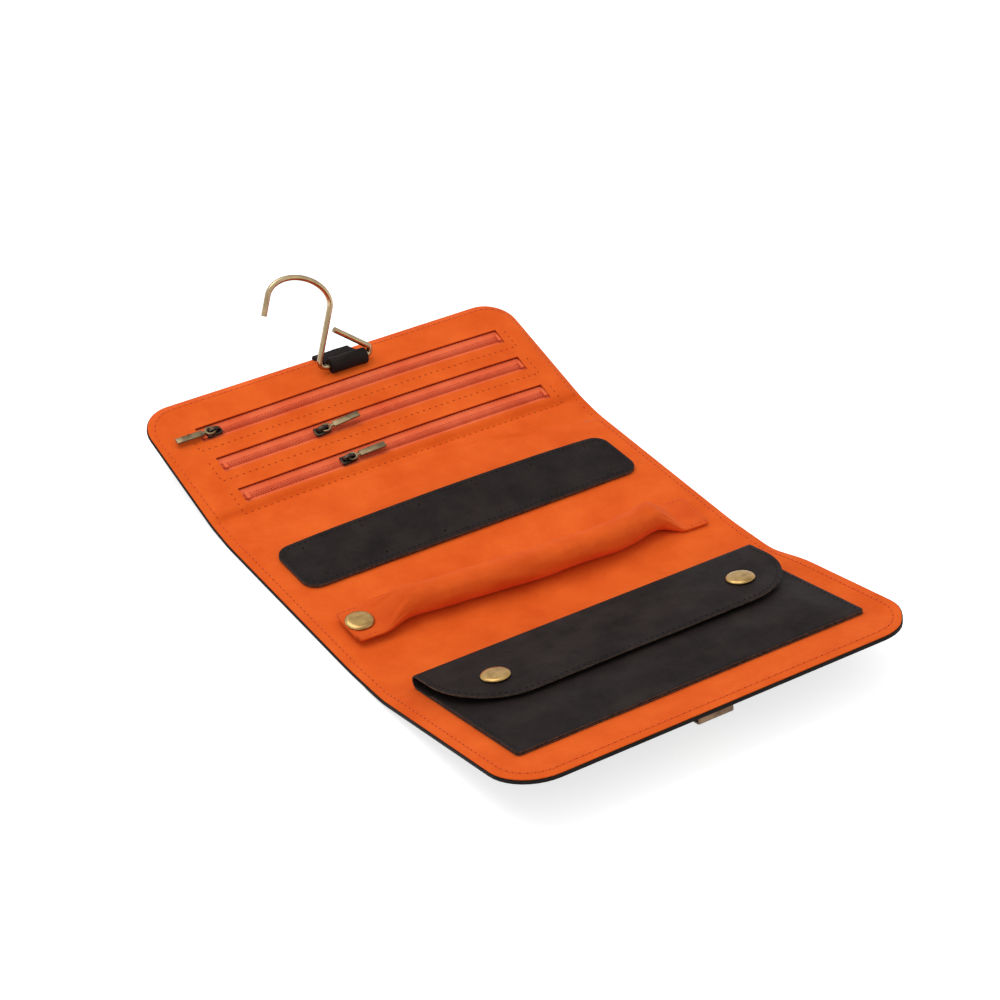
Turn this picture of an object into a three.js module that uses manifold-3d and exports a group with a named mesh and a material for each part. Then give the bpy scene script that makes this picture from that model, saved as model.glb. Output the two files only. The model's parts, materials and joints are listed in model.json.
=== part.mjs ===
// A folding jewelry pouch that opens flat: a leather cover in three panels with two flexible
// spines, an orange lining, three zip pockets and a wire hanger on the top panel, an earring strip
// and a snapped ring roll on the middle panel, and a flap pouch on the bottom panel.
// The origin lies under the middle panel, on its outer face. +Y runs towards the hanger, +Z is up.
// All sizes are in millimetres and degrees, and the pouch lies open with its end panels lifted.

import * as THREE from 'three';
import { mergeVertices } from 'three/addons/utils/BufferGeometryUtils.js';
import Module from 'manifold-3d';

const wasm = await Module();
wasm.setup();

// Panels and their layers
const PANEL_WIDTH = 200;
const CORNER_RADIUS = 16;
const TOP_PANEL_LENGTH = 75.3;
const MIDDLE_TO_UPPER_FOLD = 59;
const MIDDLE_TO_LOWER_FOLD = 47;
const BOTTOM_PANEL_LENGTH = 103.4;
const COVER_THICKNESS = 1.5;
const BOARD_THICKNESS = 0.6;
const LINING_THICKNESS = 0.4;
const BOARD_INSET = 5;
const LINING_INSET = 0.4;

// Folds: each spine turns on two fold lines in the plane of the cover's outer face
const UPPER_REST_BEND = 7;
const LOWER_REST_BEND = 3.9;
const LOWER_OUTER_REST_BEND = 9.1;
const CLOSING_CLEARANCE = 0.55;

// Clearances
const LAYER_GAP = 0.15;
const COVER_FOLD_GAP = 0.15;
const LAYER_FOLD_GAP = 0.3;
const RUNNING_GAP = 0.25;
const SEAM_GAP = 0.3;
const CUT_OVERRUN = 1;

// Zips
const ZIP_LINES = [48.9, 28.4, 7.4];
const ZIP_LEFT_MARGIN = 20;
const ZIP_RIGHT_MARGIN = 16;
const ZIP_WINDOW_HEIGHT = 9;
const ZIP_WINDOW_SHIFT = 0.9;
const ZIP_TAPE_MARGIN = 5;
const ZIP_TAPE_SEAM = 1.2;
const ZIP_TAPE_THICKNESS = 0.4;
const ZIP_CHAIN_WIDTH = 4.2;
const ZIP_CHAIN_PROUD = 0.35;
const ZIP_POCKET_THICKNESS = 0.15;
const ZIP_POCKET_RISE = 6.4;
const ZIP_STOP_LENGTH = 1.6;
const ZIP_STOP_THICKNESS = 0.7;
const ZIP_STOP_INSET = 1;

// Zip sliders and their pulls: how far each slider is drawn from its left stop, and each pull's angle
const SLIDER_TRAVELS = [0, 45.5, 47.5];
const SLIDER_LENGTH = 8;
const SLIDER_STOP_GAP = 0.4;
const SLIDER_WALL = 0.9;
const BRIDGE_LENGTH = 6.4;
const BRIDGE_WIDTH = 1.6;
const BRIDGE_WALL = 0.8;
const BRIDGE_OPENING = 1.7;
const PULL_ANGLES = [180, 8, 3];
const PULL_LENGTH = 19.5;
const PULL_WIDTH = 4;
const PULL_THICKNESS = 1;
const PULL_EYE_LENGTH = 3.5;
const PULL_BAR = 1.1;

// Hanger: a wire hook that turns in a leather sleeve inside a leather loop
const HANGER_CENTRE = 5.2;
const HANGER_FROM_EDGE = 13.1;
const LOOP_WIDTH = 19;
const LOOP_WALL = 1.1;
const LOOP_TAIL_THICKNESS = 1.2;
const LOOP_TAIL_INSET = 0.5;
const SLEEVE_WALL = 0.8;
const WIRE_DIAMETER = 2.8;
const HOOK_REST_LEAN = 12;
const HOOK_BASE_LEFT = 16;
const HOOK_BASE_RIGHT = 12.3;
const HOOK_SHANK_BEND = 4.1;
const HOOK_TAIL_BEND = 1.9;
const HOOK_SHANK_LENGTH = 30;
const HOOK_SHANK_LEAN = 20.9;
const HOOK_ARCH_HALF_WIDTH = 17.1;
const HOOK_ARCH_RISE = 11.2;
const HOOK_ARCH_SKEW = 5.5;
const HOOK_TIP_LENGTH = 9.8;
const HOOK_TAIL_RISE = 3.6;
const HOOK_TAIL_LENGTH = 21.7;
const HOOK_TAIL_LEAN = 51.7;

// Earring strip
const STRIP_SIDE_MARGIN = 12.8;
const STRIP_HEIGHT = 32.8;
const STRIP_CENTRE = 24;
const STRIP_THICKNESS = 1.6;
const STRIP_CORNER_RADIUS = 7;
const EARRING_HOLE_DIAMETER = 1.8;
const EARRING_HOLE_PITCH = 30;
const EARRING_HOLE_COLUMNS = 6;
const EARRING_HOLE_INSET = 5.5;

// Ring roll
const ROLL_CENTRE = -30;
const ROLL_SKEW = -2;
const ROLL_SIDE_MARGIN = 10.7;
const ROLL_DIAMETER = 14;
const ROLL_TAPER = 16;
const ROLL_FABRIC = 0.7;
const ROLL_TAB_LENGTH = 13;
const ROLL_TAB_WIDTH = 23;
const ROLL_TAB_THICKNESS = 1.8;

// Snap fasteners
const SNAP_CAP_DIAMETER = 13.4;
const SNAP_CAP_RISE = 1.5;
const SNAP_STEM_DIAMETER = 3;
const SNAP_SOCKET_DIAMETER = 9;
const SNAP_STUD_DIAMETER = 4.2;
const SNAP_RISE = 1.6;
const SNAP_FLANGE_DIAMETER = 8;
const SNAP_FLANGE = 0.4;

// Flap pouch
const POUCH_SIDE_MARGIN = 14;
const POUCH_LENGTH = 79.5;
const POUCH_FROM_FOLD = 3.2;
const POUCH_LEATHER = 1.1;
const POUCH_DEPTH = 1.6;
const POUCH_SEAM = 4;
const POUCH_MOUTH = 14;
const FLAP_LENGTH = 45.4;
const FLAP_CORNER_RADIUS = 27;
const FLAP_SNAP_FROM_SIDE = 24;
const FLAP_SNAP_FROM_HINGE = 26.4;

// Hook clasp on the bottom panel's outer face
const CLASP_WIDTH = 17;
const CLASP_FROM_EDGE = 4.2;
const CLASP_OFFSET = 3.4;
const CLASP_METAL = 1;
const CLASP_BASE_LENGTH = 14;
const CLASP_RETURN_LENGTH = 6;
const CLASP_CHANNEL = 3.6;
const RIVET_SPREAD = 9;
const RIVET_DIAMETER = 2;
const RIVET_HEAD_DIAMETER = 3.6;
const RIVET_HEAD = 0.7;
const RIVET_FROM_RETURN = 3.6;

// Elastic closing loop, sewn to the upper spine's outer face
const ELASTIC_THICKNESS = 0.6;
const ELASTIC_BAND = 4;
const ELASTIC_SEAM = 8;
const ELASTIC_REACH = 24;
const ELASTIC_SIDE_GAP = 1;

// Facets
const CORNER_STEPS = 6;
const ROUND_SIDES = 24;
const WIRE_SIDES = 8;
const HOOK_STEPS = 84;
const ROLL_SIDES = 20;

// Heights of the layers, from the cover's outer face inwards
const BOARD_BASE = COVER_THICKNESS + LAYER_GAP;
const BOARD_TOP = BOARD_BASE + BOARD_THICKNESS;
const LINING_BASE = BOARD_TOP + LAYER_GAP;
const PANEL_STACK = LINING_BASE + LINING_THICKNESS;
const SPINE_STACK = COVER_THICKNESS + LAYER_GAP + LINING_THICKNESS;
const POCKET_PITCH = ZIP_POCKET_THICKNESS + LAYER_GAP;
const TAPE_BASE = BOARD_TOP + LAYER_GAP + POCKET_PITCH * ZIP_LINES.length;
const TAPE_TOP = TAPE_BASE + ZIP_TAPE_THICKNESS;
const TOP_LINING_BASE = TAPE_TOP + LAYER_GAP;
const TOP_STACK = TOP_LINING_BASE + LINING_THICKNESS;
const FOLD_SETBACK = SPINE_STACK + LAYER_FOLD_GAP;

// Widths that follow the panel's width
const ZIP_LEFT = -PANEL_WIDTH / 2 + ZIP_LEFT_MARGIN;
const ZIP_RIGHT = PANEL_WIDTH / 2 - ZIP_RIGHT_MARGIN;
const SLIDER_FIRST_PLACE = ZIP_LEFT + ZIP_STOP_INSET + ZIP_STOP_LENGTH + SLIDER_STOP_GAP + SLIDER_LENGTH / 2;
const STRIP_LENGTH = PANEL_WIDTH - 2 * STRIP_SIDE_MARGIN;
const ROLL_LENGTH = PANEL_WIDTH - 2 * (ROLL_SIDE_MARGIN + ROLL_TAB_LENGTH + SEAM_GAP);
const POUCH_WIDTH = PANEL_WIDTH - 2 * POUCH_SIDE_MARGIN;

// Hanger radii
const WIRE_RADIUS = WIRE_DIAMETER / 2;
const SLEEVE_BORE = WIRE_RADIUS + RUNNING_GAP;
const SLEEVE_RADIUS = SLEEVE_BORE + SLEEVE_WALL;
const LOOP_BORE = SLEEVE_RADIUS + RUNNING_GAP;
const LOOP_RADIUS = LOOP_BORE + LOOP_WALL;

// Heights of the pouch above the lining that it is sewn to
const POUCH_BACK_TOP = LAYER_GAP + POUCH_LEATHER;
const POUCH_RIM_BASE = POUCH_BACK_TOP + LAYER_GAP;
const POUCH_FRONT_BASE = POUCH_RIM_BASE + POUCH_DEPTH;
const POUCH_FRONT_TOP = POUCH_FRONT_BASE + POUCH_LEATHER;
const FLAP_BASE = POUCH_FRONT_TOP + SNAP_RISE;
const FLAP_TOP = FLAP_BASE + POUCH_LEATHER;

// Spines are as wide as what lies between the panels when the pouch is closed
const UPPER_SPINE_WIDTH = PANEL_STACK + TOP_STACK + LAYER_GAP + 2 * LOOP_RADIUS + CLOSING_CLEARANCE;
const LOWER_SPINE_WIDTH = 2 * PANEL_STACK + LAYER_GAP + ROLL_DIAMETER + FLAP_TOP + CLOSING_CLEARANCE;

const radians = THREE.MathUtils.degToRad;

const leather = material(0x2b2725, 0.72, 0);
const twill = material(0xe65f22, 0.85, 0);
const zipTape = material(0xef7040, 0.8, 0);
const board = material(0x8a7a66, 0.9, 0);
const wadding = material(0xe9e4d8, 0.95, 0);
const brass = material(0xb8914a, 0.35, 1);
const wire = material(0xd8bd84, 0.25, 1);
const bronze = material(0x6f5a3e, 0.4, 1);

/** A plain finish. */
function material(color, roughness, metalness) {
  return new THREE.MeshStandardMaterial({ color, roughness, metalness });
}

/** Adds one named piece to a group. */
function piece(parent, name, geometry, finish) {
  const mesh = new THREE.Mesh(geometry, finish);
  mesh.name = name;
  parent.add(mesh);
  return mesh;
}

/** Turns a closed geometry into a solid that can be cut and joined. */
function solid(geometry) {
  const bare = geometry.clone();
  bare.deleteAttribute('normal');
  bare.deleteAttribute('uv');
  const merged = mergeVertices(bare, 1e-5);
  const vertProperties = new Float32Array(merged.attributes.position.array);
  const triVerts = new Uint32Array(merged.index.array);
  return new wasm.Manifold(new wasm.Mesh({ numProp: 3, vertProperties, triVerts }));
}

/** Turns a solid back into a geometry. */
function geometryOf(body) {
  const mesh = body.getMesh();
  const geometry = new THREE.BufferGeometry();
  geometry.setAttribute('position', new THREE.BufferAttribute(new Float32Array(mesh.vertProperties), 3));
  geometry.setIndex(new THREE.BufferAttribute(new Uint32Array(mesh.triVerts), 1));
  geometry.computeVertexNormals();
  return geometry;
}

/** One geometry with others cut away from it. */
function cut(geometry, ...tools) {
  let body = solid(geometry);
  for (const tool of tools) {
    body = body.subtract(solid(tool));
  }
  return geometryOf(body);
}

/** Geometries joined into one. */
function join(geometry, ...others) {
  let body = solid(geometry);
  for (const other of others) {
    body = body.add(solid(other));
  }
  return geometryOf(body);
}

/** What two geometries have in common. */
function common(geometry, other) {
  return geometryOf(solid(geometry).intersect(solid(other)));
}

/** A flat outline raised between two heights. */
function slab(shape, base, top) {
  const options = { depth: top - base, bevelEnabled: false, curveSegments: CORNER_STEPS };
  return new THREE.ExtrudeGeometry(shape, options).translate(0, 0, base);
}

/** A side view in Y and Z, extruded along X between two places. */
function sideways(shape, left, right, steps = CORNER_STEPS) {
  const options = { depth: right - left, bevelEnabled: false, curveSegments: steps };
  const turn = new THREE.Matrix4().set(0, 0, 1, left, 1, 0, 0, 0, 0, 1, 0, 0, 0, 0, 0, 1);
  return new THREE.ExtrudeGeometry(shape, options).applyMatrix4(turn);
}

/** A box from its limits along X, Y and Z. */
function box([x0, x1], [y0, y1], [z0, z1]) {
  const size = new THREE.BoxGeometry(x1 - x0, y1 - y0, z1 - z0);
  return size.translate((x0 + x1) / 2, (y0 + y1) / 2, (z0 + z1) / 2);
}

/** A round piece about the Z axis, from pairs of radius and height. */
function turned(profile, x = 0, y = 0, sides = ROUND_SIDES) {
  const points = profile.map(([radius, height]) => new THREE.Vector2(radius, height));
  return new THREE.LatheGeometry(points, sides).rotateX(Math.PI / 2).translate(x, y, 0);
}

/** A cylinder along Z between two heights. */
function post(diameter, base, top, x = 0, y = 0, sides = ROUND_SIDES) {
  const radius = diameter / 2;
  return turned([[0, base], [radius, base], [radius, top], [0, top]], x, y, sides);
}

/** A closed outline from a list of points. */
function outline(points) {
  return new THREE.Shape(points.map(([x, y]) => new THREE.Vector2(x, y)));
}

/** A rectangle whose far corners are round. */
function tongue(width, near, far, radius) {
  const half = width / 2;
  const shape = new THREE.Shape();
  shape.moveTo(-half, near);
  shape.lineTo(half, near);
  shape.lineTo(half, far - radius);
  shape.absarc(half - radius, far - radius, radius, 0, Math.PI / 2, false);
  shape.lineTo(-half + radius, far);
  shape.absarc(-half + radius, far - radius, radius, Math.PI / 2, Math.PI, false);
  shape.closePath();
  return shape;
}

/** A rectangle with four round corners. */
function roundedRectangle(width, near, far, radius) {
  const shape = tongue(width, near, far, radius);
  const half = width / 2;
  const rounded = new THREE.Shape();
  rounded.moveTo(-half + radius, near);
  rounded.absarc(half - radius, near + radius, radius, -Math.PI / 2, 0, false);
  rounded.absarc(half - radius, far - radius, radius, 0, Math.PI / 2, false);
  rounded.absarc(-half + radius, far - radius, radius, Math.PI / 2, Math.PI, false);
  rounded.absarc(-half + radius, near + radius, radius, Math.PI, 1.5 * Math.PI, false);
  return radius > 0 ? rounded : shape;
}

/** A rectangular outline. */
function rectangle(x0, x1, y0, y1) {
  return outline([[x0, y0], [x1, y0], [x1, y1], [x0, y1]]);
}

/** A body lofted through oval sections along X: place, half width, half height, height of middle. */
function loft(sections, sides) {
  const position = [];
  const index = [];
  sections.forEach(({ x, halfWidth, halfHeight, middle }) => {
    for (let side = 0; side < sides; side += 1) {
      const angle = (2 * Math.PI * side) / sides;
      position.push(x, halfWidth * Math.cos(angle), middle + halfHeight * Math.sin(angle));
    }
  });
  const rings = sections.length;
  for (let ring = 0; ring < rings - 1; ring += 1) {
    for (let side = 0; side < sides; side += 1) {
      const next = (side + 1) % sides;
      const a = ring * sides + side;
      const b = ring * sides + next;
      index.push(a, b, a + sides, b, b + sides, a + sides);
    }
  }
  const last = (rings - 1) * sides;
  for (let side = 1; side < sides - 1; side += 1) {
    index.push(0, side + 1, side, last, last + side, last + side + 1);
  }
  const geometry = new THREE.BufferGeometry();
  geometry.setAttribute('position', new THREE.Float32BufferAttribute(position, 3));
  geometry.setIndex(index);
  geometry.computeVertexNormals();
  return geometry;
}

/** A group that starts at a fold line and is lifted about it. */
function foldedGroup(parent, distance, bend) {
  const group = new THREE.Group();
  group.position.y = distance;
  group.rotation.x = radians(bend);
  parent.add(group);
  return group;
}

/** The side view of a cover between two fold lines, mitred so that it can bend by a right angle. */
function mitredSection(near, far) {
  const start = near + COVER_FOLD_GAP;
  const end = far - COVER_FOLD_GAP;
  const rise = COVER_THICKNESS;
  return outline([[start, 0], [end, 0], [end - rise, rise], [start + rise, rise]]);
}

/** The cover of an end panel: round at its far corners and mitred at its fold line. */
function endCover(length) {
  const plain = slab(tongue(PANEL_WIDTH, COVER_FOLD_GAP, length, CORNER_RADIUS), 0, COVER_THICKNESS);
  const reach = 2 * COVER_THICKNESS;
  const start = COVER_FOLD_GAP;
  const wedge = outline([[start, 0], [start + reach, reach], [start - reach, reach], [start - reach, 0]]);
  return cut(plain, sideways(wedge, -PANEL_WIDTH, PANEL_WIDTH));
}

/** The layer of an end panel that is set in from the cover's edge and back from the fold line. */
function endLayer(length, inset, base, top) {
  const shape = tongue(PANEL_WIDTH - 2 * inset, FOLD_SETBACK, length - inset, CORNER_RADIUS - inset);
  return slab(shape, base, top);
}

/** The flexible spine between two panels: cover and lining. */
function addSpine(group, name, width) {
  const half = PANEL_WIDTH / 2;
  piece(group, `${name}_cover`, sideways(mitredSection(0, width), -half, half), leather);
  const lined = half - LINING_INSET;
  const layer = box([-lined, lined], [FOLD_SETBACK, width - FOLD_SETBACK],
    [COVER_THICKNESS + LAYER_GAP, SPINE_STACK]);
  piece(group, `${name}_lining`, layer, twill);
}

/** A snap cap with a stem that goes through the flap, from the flap's top face. */
function snapCap(stemBase, seat) {
  const radius = SNAP_CAP_DIAMETER / 2;
  const stem = SNAP_STEM_DIAMETER / 2;
  const rim = seat + SNAP_CAP_RISE / 3;
  const crown = seat + SNAP_CAP_RISE;
  const dome = [[radius, rim], [radius * 0.82, rim + (crown - rim) * 0.62], [radius * 0.45, crown - 0.1]];
  return turned([[0, stemBase], [stem, stemBase], [stem, seat], [radius, seat], ...dome, [0, crown]]);
}

/** A snap socket: a ring with a recess for the stud, closed on top. */
function snapSocket(base, top) {
  const radius = SNAP_SOCKET_DIAMETER / 2;
  const bore = SNAP_STUD_DIAMETER / 2 + RUNNING_GAP;
  const roof = top - SNAP_FLANGE;
  const side = [[bore, base], [radius, base], [radius, top], [0, top], [0, roof], [bore, roof], [bore, base]];
  return turned(side);
}

/** A snap stud: a flange on the cloth and a head that enters the socket. */
function snapStud(seat, headTop) {
  const flange = SNAP_FLANGE_DIAMETER / 2;
  const head = SNAP_STUD_DIAMETER / 2;
  const neck = SNAP_STEM_DIAMETER / 2;
  const ledge = seat + SNAP_FLANGE;
  const shoulder = (ledge + headTop) / 2;
  return turned([[0, seat], [flange, seat], [flange, ledge], [neck, ledge], [head, shoulder],
    [head, headTop], [0, headTop]]);
}

/** The three parts of one snap fastener, and the hole for its stem. */
function snapSet(seat, sheetBase, sheetTop) {
  const flangeTop = seat + LAYER_GAP + SNAP_FLANGE;
  const socketTop = sheetBase - LAYER_GAP;
  const roof = socketTop - SNAP_FLANGE;
  return {
    stud: snapStud(seat + LAYER_GAP, roof - LAYER_GAP),
    socket: snapSocket(flangeTop + LAYER_GAP, socketTop),
    cap: snapCap(sheetBase, sheetTop + LAYER_GAP),
    hole: post(SNAP_STEM_DIAMETER + 2 * LAYER_GAP, sheetBase - CUT_OVERRUN, sheetTop + CUT_OVERRUN),
  };
}

const pouch = new THREE.Group();
const upperSpine = foldedGroup(pouch, MIDDLE_TO_UPPER_FOLD, UPPER_REST_BEND);
const topPanel = foldedGroup(upperSpine, UPPER_SPINE_WIDTH, UPPER_REST_BEND);
const frontSide = new THREE.Group();
frontSide.rotation.z = Math.PI;
pouch.add(frontSide);
const lowerSpine = foldedGroup(frontSide, MIDDLE_TO_LOWER_FOLD, LOWER_REST_BEND);
const bottomPanel = foldedGroup(lowerSpine, LOWER_SPINE_WIDTH, LOWER_OUTER_REST_BEND);

addMiddlePanel();
addSpine(upperSpine, 'upper_spine', UPPER_SPINE_WIDTH);
addSpine(lowerSpine, 'lower_spine', LOWER_SPINE_WIDTH);
addTopPanel();
addBottomPanel();
addEarringStrip();
addRingRoll();
ZIP_LINES.forEach((line, order) => addZip(line, order));
addHanger();
addFlapPouch();
addClasp();
addClosingLoop();

/** Cover, stiffening board and lining of the middle panel. */
function addMiddlePanel() {
  const half = PANEL_WIDTH / 2;
  const section = mitredSection(-MIDDLE_TO_LOWER_FOLD, MIDDLE_TO_UPPER_FOLD);
  piece(pouch, 'middle_cover', sideways(section, -half, half), leather);
  const near = -MIDDLE_TO_LOWER_FOLD + FOLD_SETBACK;
  const far = MIDDLE_TO_UPPER_FOLD - FOLD_SETBACK;
  const stiff = half - BOARD_INSET;
  piece(pouch, 'middle_board', box([-stiff, stiff], [near, far], [BOARD_BASE, BOARD_TOP]), board);
  const lined = half - LINING_INSET;
  piece(pouch, 'middle_lining', box([-lined, lined], [near, far], [LINING_BASE, PANEL_STACK]), twill);
}

/** Cover, board and lining of the top panel, with a window in the lining for each zip. */
function addTopPanel() {
  piece(topPanel, 'top_cover', endCover(TOP_PANEL_LENGTH), leather);
  piece(topPanel, 'top_board', endLayer(TOP_PANEL_LENGTH, BOARD_INSET, BOARD_BASE, BOARD_TOP), board);
  const rise = ZIP_WINDOW_HEIGHT / 2;
  const shape = tongue(PANEL_WIDTH - 2 * LINING_INSET, FOLD_SETBACK, TOP_PANEL_LENGTH - LINING_INSET,
    CORNER_RADIUS - LINING_INSET);
  for (const line of ZIP_LINES) {
    const middle = line + ZIP_WINDOW_SHIFT;
    shape.holes.push(rectangle(ZIP_LEFT, ZIP_RIGHT, middle - rise, middle + rise));
  }
  piece(topPanel, 'top_lining', slab(shape, TOP_LINING_BASE, TOP_STACK), twill);
}

/** Cover, board and lining of the bottom panel. The clasp's rivets go through the cover. */
function addBottomPanel() {
  const place = claspPlace();
  const holes = place.rivets.map((x) => post(RIVET_DIAMETER + 2 * LAYER_GAP, -CUT_OVERRUN,
    COVER_THICKNESS + CUT_OVERRUN, x, place.rivetLine, WIRE_SIDES));
  piece(bottomPanel, 'bottom_cover', cut(endCover(BOTTOM_PANEL_LENGTH), ...holes), leather);
  const stiff = endLayer(BOTTOM_PANEL_LENGTH, BOARD_INSET, BOARD_BASE, BOARD_TOP);
  piece(bottomPanel, 'bottom_board', stiff, board);
  const lined = endLayer(BOTTOM_PANEL_LENGTH, LINING_INSET, LINING_BASE, PANEL_STACK);
  piece(bottomPanel, 'bottom_lining', lined, twill);
}

/** The leather strip with holes for earring posts, sewn along its upper edge. */
function addEarringStrip() {
  const near = STRIP_CENTRE - STRIP_HEIGHT / 2;
  const far = STRIP_CENTRE + STRIP_HEIGHT / 2;
  const shape = roundedRectangle(STRIP_LENGTH, near, far, STRIP_CORNER_RADIUS);
  const first = (-(EARRING_HOLE_COLUMNS - 1) * EARRING_HOLE_PITCH) / 2;
  for (let column = 0; column < EARRING_HOLE_COLUMNS; column += 1) {
    for (const y of [near + EARRING_HOLE_INSET, far - EARRING_HOLE_INSET]) {
      const hole = new THREE.Path();
      hole.absarc(first + column * EARRING_HOLE_PITCH, y, EARRING_HOLE_DIAMETER / 2, 0, 2 * Math.PI, true);
      shape.holes.push(hole);
    }
  }
  const base = PANEL_STACK + LAYER_GAP;
  piece(pouch, 'earring_strip', slab(shape, base, base + STRIP_THICKNESS), leather);
}

/** The stuffed ring roll: sewn down at its right end, held by a snap at its left end. */
function addRingRoll() {
  const group = new THREE.Group();
  group.position.set(0, ROLL_CENTRE, PANEL_STACK);
  group.rotation.z = radians(ROLL_SKEW);
  pouch.add(group);
  const half = ROLL_LENGTH / 2;
  const tab = ROLL_TAB_WIDTH / 2;
  const seat = LAYER_GAP;
  const tabBase = seat + 2 * SNAP_FLANGE + SNAP_RISE;

  const shell = loft(rollSections(half, ROLL_DIAMETER / 2, tab, ROLL_TAB_THICKNESS / 2, seat, tabBase),
    ROLL_SIDES);
  const bore = loft(rollSections(half, ROLL_DIAMETER / 2 - ROLL_FABRIC, tab - ROLL_FABRIC,
    ROLL_TAB_THICKNESS / 2 - ROLL_FABRIC, seat + ROLL_FABRIC, tabBase + ROLL_FABRIC, SEAM_GAP), ROLL_SIDES);
  piece(group, 'roll_cover', cut(shell, bore), twill);
  const slack = ROLL_FABRIC + LAYER_GAP;
  const filling = rollSections(half - ROLL_TAPER, ROLL_DIAMETER / 2 - slack, ROLL_DIAMETER / 3,
    ROLL_DIAMETER / 3, seat + slack, seat + slack);
  piece(group, 'roll_wadding', loft(filling, ROLL_SIDES), wadding);

  const left = -half - SEAM_GAP;
  const right = half + SEAM_GAP;
  piece(group, 'roll_anchor_tab',
    box([right, right + ROLL_TAB_LENGTH], [-tab, tab], [seat, seat + ROLL_TAB_THICKNESS]), twill);
  const snapX = left - ROLL_TAB_LENGTH / 2;
  const parts = snapSet(0, tabBase, tabBase + ROLL_TAB_THICKNESS);
  const flat = box([left - ROLL_TAB_LENGTH, left], [-tab, tab], [tabBase, tabBase + ROLL_TAB_THICKNESS]);
  piece(group, 'roll_snap_tab', cut(flat, parts.hole.translate(snapX, 0, 0)), twill);
  piece(group, 'roll_snap_cap', parts.cap.translate(snapX, 0, 0), brass);
  piece(group, 'roll_snap_socket', parts.socket.translate(snapX, 0, 0), brass);
  piece(group, 'roll_snap_stud', parts.stud.translate(snapX, 0, 0), brass);
}

/** Sections of the roll: flat where it meets its tabs, round where it is stuffed. */
function rollSections(half, radius, flatHalfWidth, flatHalfHeight, rightBase, leftBase, overrun = 0) {
  const steps = 4;
  const sections = [];
  const section = (x, share, base) => {
    const ease = share * share * (3 - 2 * share);
    const halfHeight = THREE.MathUtils.lerp(flatHalfHeight, radius, ease);
    const halfWidth = THREE.MathUtils.lerp(flatHalfWidth, radius, ease);
    const bottom = THREE.MathUtils.lerp(base, rightBase, ease);
    sections.push({ x, halfWidth, halfHeight, middle: bottom + halfHeight });
  };
  if (overrun > 0) {
    section(-half - overrun, 0, leftBase);
  }
  const inside = overrun > 0 ? ROLL_FABRIC : 0;
  for (let step = 0; step <= steps; step += 1) {
    section(-half + (ROLL_TAPER * step) / steps, step / steps, leftBase);
  }
  for (let step = steps; step >= 0; step -= 1) {
    section(half - inside - (ROLL_TAPER * step) / steps, step / steps, rightBase);
  }
  return sections;
}

/** One zip: two tapes with their halves of the chain, end stops, pocket sheet, slider and pull. */
function addZip(line, order) {
  const name = `zip_${order + 1}`;
  const left = ZIP_LEFT;
  const right = ZIP_RIGHT;
  const chainTop = TOP_STACK + ZIP_CHAIN_PROUD;
  const zip = new THREE.Group();
  zip.position.y = line;
  topPanel.add(zip);

  const middleGap = LAYER_GAP / 2;
  for (const [side, sign] of [['upper', 1], ['lower', -1]]) {
    const across = (reach) => [sign * middleGap, sign * reach].sort((a, b) => a - b);
    const reach = ZIP_WINDOW_HEIGHT / 2 + sign * ZIP_WINDOW_SHIFT + ZIP_TAPE_SEAM;
    const tape = box([left - ZIP_TAPE_MARGIN, right + ZIP_TAPE_MARGIN], across(reach), [TAPE_BASE, TAPE_TOP]);
    const chain = box([left + LAYER_GAP, right - LAYER_GAP], across(ZIP_CHAIN_WIDTH / 2),
      [TAPE_BASE, chainTop]);
    piece(zip, `${name}_${side}_tape`, join(tape, chain), zipTape);
  }

  const stopReach = ZIP_CHAIN_WIDTH / 2;
  const stopBase = chainTop + LAYER_GAP;
  const stopAt = (start) => box([start, start + ZIP_STOP_LENGTH], [-stopReach, stopReach],
    [stopBase, stopBase + ZIP_STOP_THICKNESS]);
  piece(zip, `${name}_left_stop`, stopAt(left + ZIP_STOP_INSET), bronze);
  piece(zip, `${name}_right_stop`, stopAt(right - ZIP_STOP_INSET - ZIP_STOP_LENGTH), bronze);

  const pocketBase = BOARD_TOP + LAYER_GAP + order * POCKET_PITCH;
  const pocket = box([left - ZIP_TAPE_MARGIN, right + ZIP_TAPE_MARGIN],
    [FOLD_SETBACK + LAYER_GAP - line, ZIP_POCKET_RISE], [pocketBase, pocketBase + ZIP_POCKET_THICKNESS]);
  piece(zip, `${name}_pocket`, pocket, twill);

  const slider = new THREE.Group();
  slider.position.set(SLIDER_FIRST_PLACE + SLIDER_TRAVELS[order], 0, chainTop + RUNNING_GAP);
  zip.add(slider);
  piece(slider, `${name}_slider`, sliderBody(chainTop + RUNNING_GAP), bronze);

  const pull = new THREE.Group();
  pull.position.z = SLIDER_WALL + BRIDGE_OPENING / 2;
  pull.rotation.y = -radians(PULL_ANGLES[order]);
  slider.add(pull);
  const width = PULL_WIDTH / 2;
  const bar = PULL_BAR / 2;
  const eye = BRIDGE_WIDTH / 2 + RUNNING_GAP + LAYER_GAP;
  const shape = rectangle(-bar, PULL_LENGTH, -width, width);
  shape.holes.push(rectangle(bar, bar + PULL_EYE_LENGTH, -eye, eye));
  piece(pull, `${name}_pull`, slab(shape, -PULL_THICKNESS / 2, PULL_THICKNESS / 2), bronze);
}

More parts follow.
